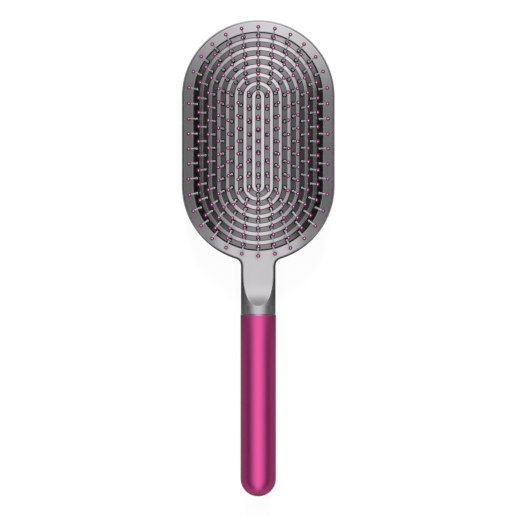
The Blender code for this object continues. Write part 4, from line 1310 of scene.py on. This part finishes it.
def head_glow():
    """A narrow stripe of light that widens and leans over the top of the head, in a dim haze at the sides."""
    glow, tree, sideways, along, light = glowing("head_glow")
    offset = calc(tree, "SUBTRACT", sideways, ramp(tree, along, LEAN_RAMP, (0.0, LEAN_X)))
    level = ramp(tree, along, HEAD_RAMP, HEAD_STRENGTHS)
    fade = ramp(tree, along, FADE_RAMP, (1.0, FADE_TO))
    shape = bell(tree, offset, ramp(tree, along, SPREAD_RAMP, HEAD_SPREADS))
    stripe = calc(tree, "MULTIPLY", shape, calc(tree, "MULTIPLY", level, fade))
    haze = calc(tree, "SUBTRACT", 1.0, bell(tree, calc(tree, "POWER", sideways, 2.0), HAZE_SPREAD))
    tree.links.new(calc(tree, "MULTIPLY_ADD", haze, HEAD_HAZE, stripe), light.inputs["Strength"])
    return glow


def handle_glow():
    """A broad stripe with a dim fill to both sides, narrower over the collar."""
    glow, tree, sideways, along, light = glowing("handle_glow")
    stripe = bell(tree, sideways, ramp(tree, along, COLLAR_RAMP, HANDLE_SPREADS))
    fill_level = ramp(tree, along, COLLAR_RAMP, HANDLE_FILLS)
    fill = calc(tree, "MULTIPLY", bell(tree, sideways, FILL_SPREAD), fill_level)
    level = ramp(tree, along, COLLAR_RAMP, HANDLE_STRENGTHS)
    tree.links.new(calc(tree, "MULTIPLY_ADD", stripe, level, fill), light.inputs["Strength"])
    tone = add_node(tree, "ShaderNodeMix", data_type="RGBA")
    tone.inputs["A"].default_value = FILL_TINT
    tone.inputs["B"].default_value = (1.0, 1.0, 1.0, 1.0)
    plain = calc(tree, "MAXIMUM", stripe, ramp(tree, along, COLLAR_RAMP, (0.0, 1.0)))
    tree.links.new(plain, tone.inputs["Factor"])
    tree.links.new(tone.outputs["Result"], light.inputs["Color"])
    return glow


def flat_plane(name, corners, height, finish):
    """A plane through four corners at one height."""
    shape = bmesh.new()
    shape.faces.new([shape.verts.new((x, y, height)) for x, y in corners])
    mesh = bpy.data.meshes.new(name)
    shape.to_mesh(mesh)
    shape.free()
    mesh.materials.append(finish)
    plane = bpy.data.objects.new(name, mesh)
    bpy.context.scene.collection.objects.link(plane)
    return plane


def make_softbox(name, half_x, ends, height, glow):
    """A glowing plane above the brush, which the camera doesn't see."""
    corners = ((-half_x, ends[0]), (-half_x, ends[1]), (half_x, ends[1]), (half_x, ends[0]))
    box = flat_plane(name, corners, height, glow)
    box.visible_camera = False
    box.visible_shadow = False


head_ends = (-HEAD_BOX_HALF[1], HEAD_BOX_HALF[1])
make_softbox("head_box", HEAD_BOX_HALF[0], head_ends, HEAD_BOX_HEIGHT, head_glow())
make_softbox("handle_box", HANDLE_BOX_HALF, HANDLE_BOX_ENDS, HANDLE_BOX_HEIGHT, handle_glow())
print("softbox over the handle from %.3f to %.3f m" % HANDLE_BOX_ENDS)


def make_lamp(name, energy, softness, turn):
    """A far lamp that models the pins; it is kept out of all mirror reflections."""
    light = bpy.data.lights.new(name, "SUN")
    light.energy = energy
    light.angle = softness
    lamp = bpy.data.objects.new(name, light)
    lamp.rotation_euler = (turn, 0.0, 0.0)
    lamp.visible_glossy = False
    bpy.context.scene.collection.objects.link(lamp)


make_lamp("pin_key", KEY_ENERGY, KEY_SOFTNESS, KEY_HEIGHT - math.pi / 2)
make_lamp("pin_counter", COUNTER_ENERGY, COUNTER_SOFTNESS, math.pi / 2 - COUNTER_HEIGHT)
print("pin lamps made")

# %% Floor and room
FLOOR_Z = -0.2 * MM
FLOOR_HALF = 4.0
FLOOR_COLOUR = (0.05, 0.05, 0.05, 1.0)
FLOOR_WHITE = 0.92
FLOOR_GLOSS_HANDLE = 0.12
FLOOR_GLOSS_TOP_END = 0.60
FLOOR_GLOSS_HANDLE_END = 0.10
FLOOR_ROUGHNESS = 0.9
HANDLE_CARD = (-0.02, -0.05)
TOP_CARD = (body_high.y - 0.02, body_high.y + 0.06)
HANDLE_END_CARD = (tube_low.y + 0.005, tube_low.y - 0.06)
CONTACT_REACH = 3.0 * MM
HORIZON = (-0.05, 0.05)
ROOM_GREY = 0.18
ROOM_TOP_END = 0.4
ROOM_HANDLE_END = 0.20
END_FOCUS = 6.0
ROOM_UNDER = 0.60


def floor_material():
    """White sweep that keeps shadows, is open from below, and lets light reach what lies on it."""
    sweep = bpy.data.materials.new("white_sweep")
    sweep.use_nodes = True
    tree = sweep.node_tree
    shader = tree.nodes["Principled BSDF"]
    shader.inputs["Base Color"].default_value = FLOOR_COLOUR
    shader.inputs["Roughness"].default_value = FLOOR_ROUGHNESS
    path = add_node(tree, "ShaderNodeLightPath")
    shader.inputs["Emission Color"].default_value = (1.0, 1.0, 1.0, 1.0)
    plain = calc(tree, "MAXIMUM", path.outputs["Is Camera Ray"], path.outputs["Is Transmission Ray"])
    seen = calc(tree, "MULTIPLY", plain, FLOOR_WHITE)
    place = add_node(tree, "ShaderNodeTexCoord")
    parts = add_node(tree, "ShaderNodeSeparateXYZ")
    tree.links.new(place.outputs["Object"], parts.inputs[0])
    glows = []
    for span, level in (
        (HANDLE_CARD, FLOOR_GLOSS_HANDLE),
        (TOP_CARD, FLOOR_GLOSS_TOP_END),
        (HANDLE_END_CARD, FLOOR_GLOSS_HANDLE_END),
    ):
        glows.append(ramp(tree, parts.outputs["Y"], span, (0.0, level)))
    card = calc(tree, "ADD", calc(tree, "ADD", glows[0], glows[1]), glows[2])
    mirrored_seen = calc(tree, "MULTIPLY", path.outputs["Is Glossy Ray"], card)
    tree.links.new(calc(tree, "ADD", seen, mirrored_seen), shader.inputs["Emission Strength"])
    near = calc(tree, "LESS_THAN", path.outputs["Ray Length"], CONTACT_REACH)
    unseen = calc(tree, "SUBTRACT", 1.0, path.outputs["Is Camera Ray"])
    side = add_node(tree, "ShaderNodeNewGeometry")
    open_share = calc(tree, "MAXIMUM", side.outputs["Backfacing"], calc(tree, "MULTIPLY", near, unseen))
    clear = add_node(tree, "ShaderNodeBsdfTransparent")
    either = add_node(tree, "ShaderNodeMixShader")
    tree.links.new(open_share, either.inputs[0])
    tree.links.new(shader.outputs[0], either.inputs[1])
    tree.links.new(clear.outputs[0], either.inputs[2])
    tree.links.new(either.outputs[0], tree.nodes["Material Output"].inputs["Surface"])
    return sweep


def make_floor():
    """A wide floor just under the brush."""
    reach = FLOOR_HALF
    corners = ((-reach, -reach), (reach, -reach), (reach, reach), (-reach, reach))
    floor = flat_plane("floor", corners, FLOOR_Z, floor_material())


make_floor()


def make_room():
    """Dim room above the floor, brighter below it so that the back can be seen from underneath."""
    room = bpy.data.worlds.new("room")
    bpy.context.scene.world = room
    room.use_nodes = True
    tree = room.node_tree
    backdrop = tree.nodes["Background"]
    backdrop.inputs["Color"].default_value = (1.0, 1.0, 1.0, 1.0)
    place = add_node(tree, "ShaderNodeTexCoord")
    parts = add_node(tree, "ShaderNodeSeparateXYZ")
    tree.links.new(place.outputs["Generated"], parts.inputs[0])
    level = ramp(tree, parts.outputs["Z"], HORIZON, (ROOM_UNDER, ROOM_GREY))
    ahead = calc(tree, "POWER", calc(tree, "MAXIMUM", parts.outputs["Y"], 0.0), END_FOCUS)
    backwards = calc(tree, "MULTIPLY", parts.outputs["Y"], -1.0)
    behind = calc(tree, "POWER", calc(tree, "MAXIMUM", backwards, 0.0), END_FOCUS)
    ends = calc(tree, "MULTIPLY_ADD", ahead, ROOM_TOP_END, calc(tree, "MULTIPLY", behind, ROOM_HANDLE_END))
    path = add_node(tree, "ShaderNodeLightPath")
    plain = calc(tree, "MAXIMUM", path.outputs["Is Camera Ray"], path.outputs["Is Transmission Ray"])
    seen = calc(tree, "MAXIMUM", calc(tree, "ADD", level, ends), plain)
    tree.links.new(seen, backdrop.inputs["Strength"])


make_room()
print("room and floor made")

# %% [markdown]
# ## Camera
# The photograph looks straight down on the pinned face with no perspective that can be measured, so the
# camera is orthographic. Its frame is as wide as the photograph's at the brush's real length.

# %% Camera
FRAME_WIDTH = 271.0 * MM
CAMERA_HEIGHT = 1.0
FRAME_CENTRE = Vector((-0.13 * MM, 0.16 * MM))

lens = bpy.data.cameras.new("camera")
lens.type = "ORTHO"
lens.ortho_scale = FRAME_WIDTH
camera = bpy.data.objects.new("camera", lens)
camera.location = (FRAME_CENTRE.x, FRAME_CENTRE.y, CAMERA_HEIGHT)
bpy.context.scene.collection.objects.link(camera)
bpy.context.scene.camera = camera
bpy.context.scene.view_settings.view_transform = "Standard"
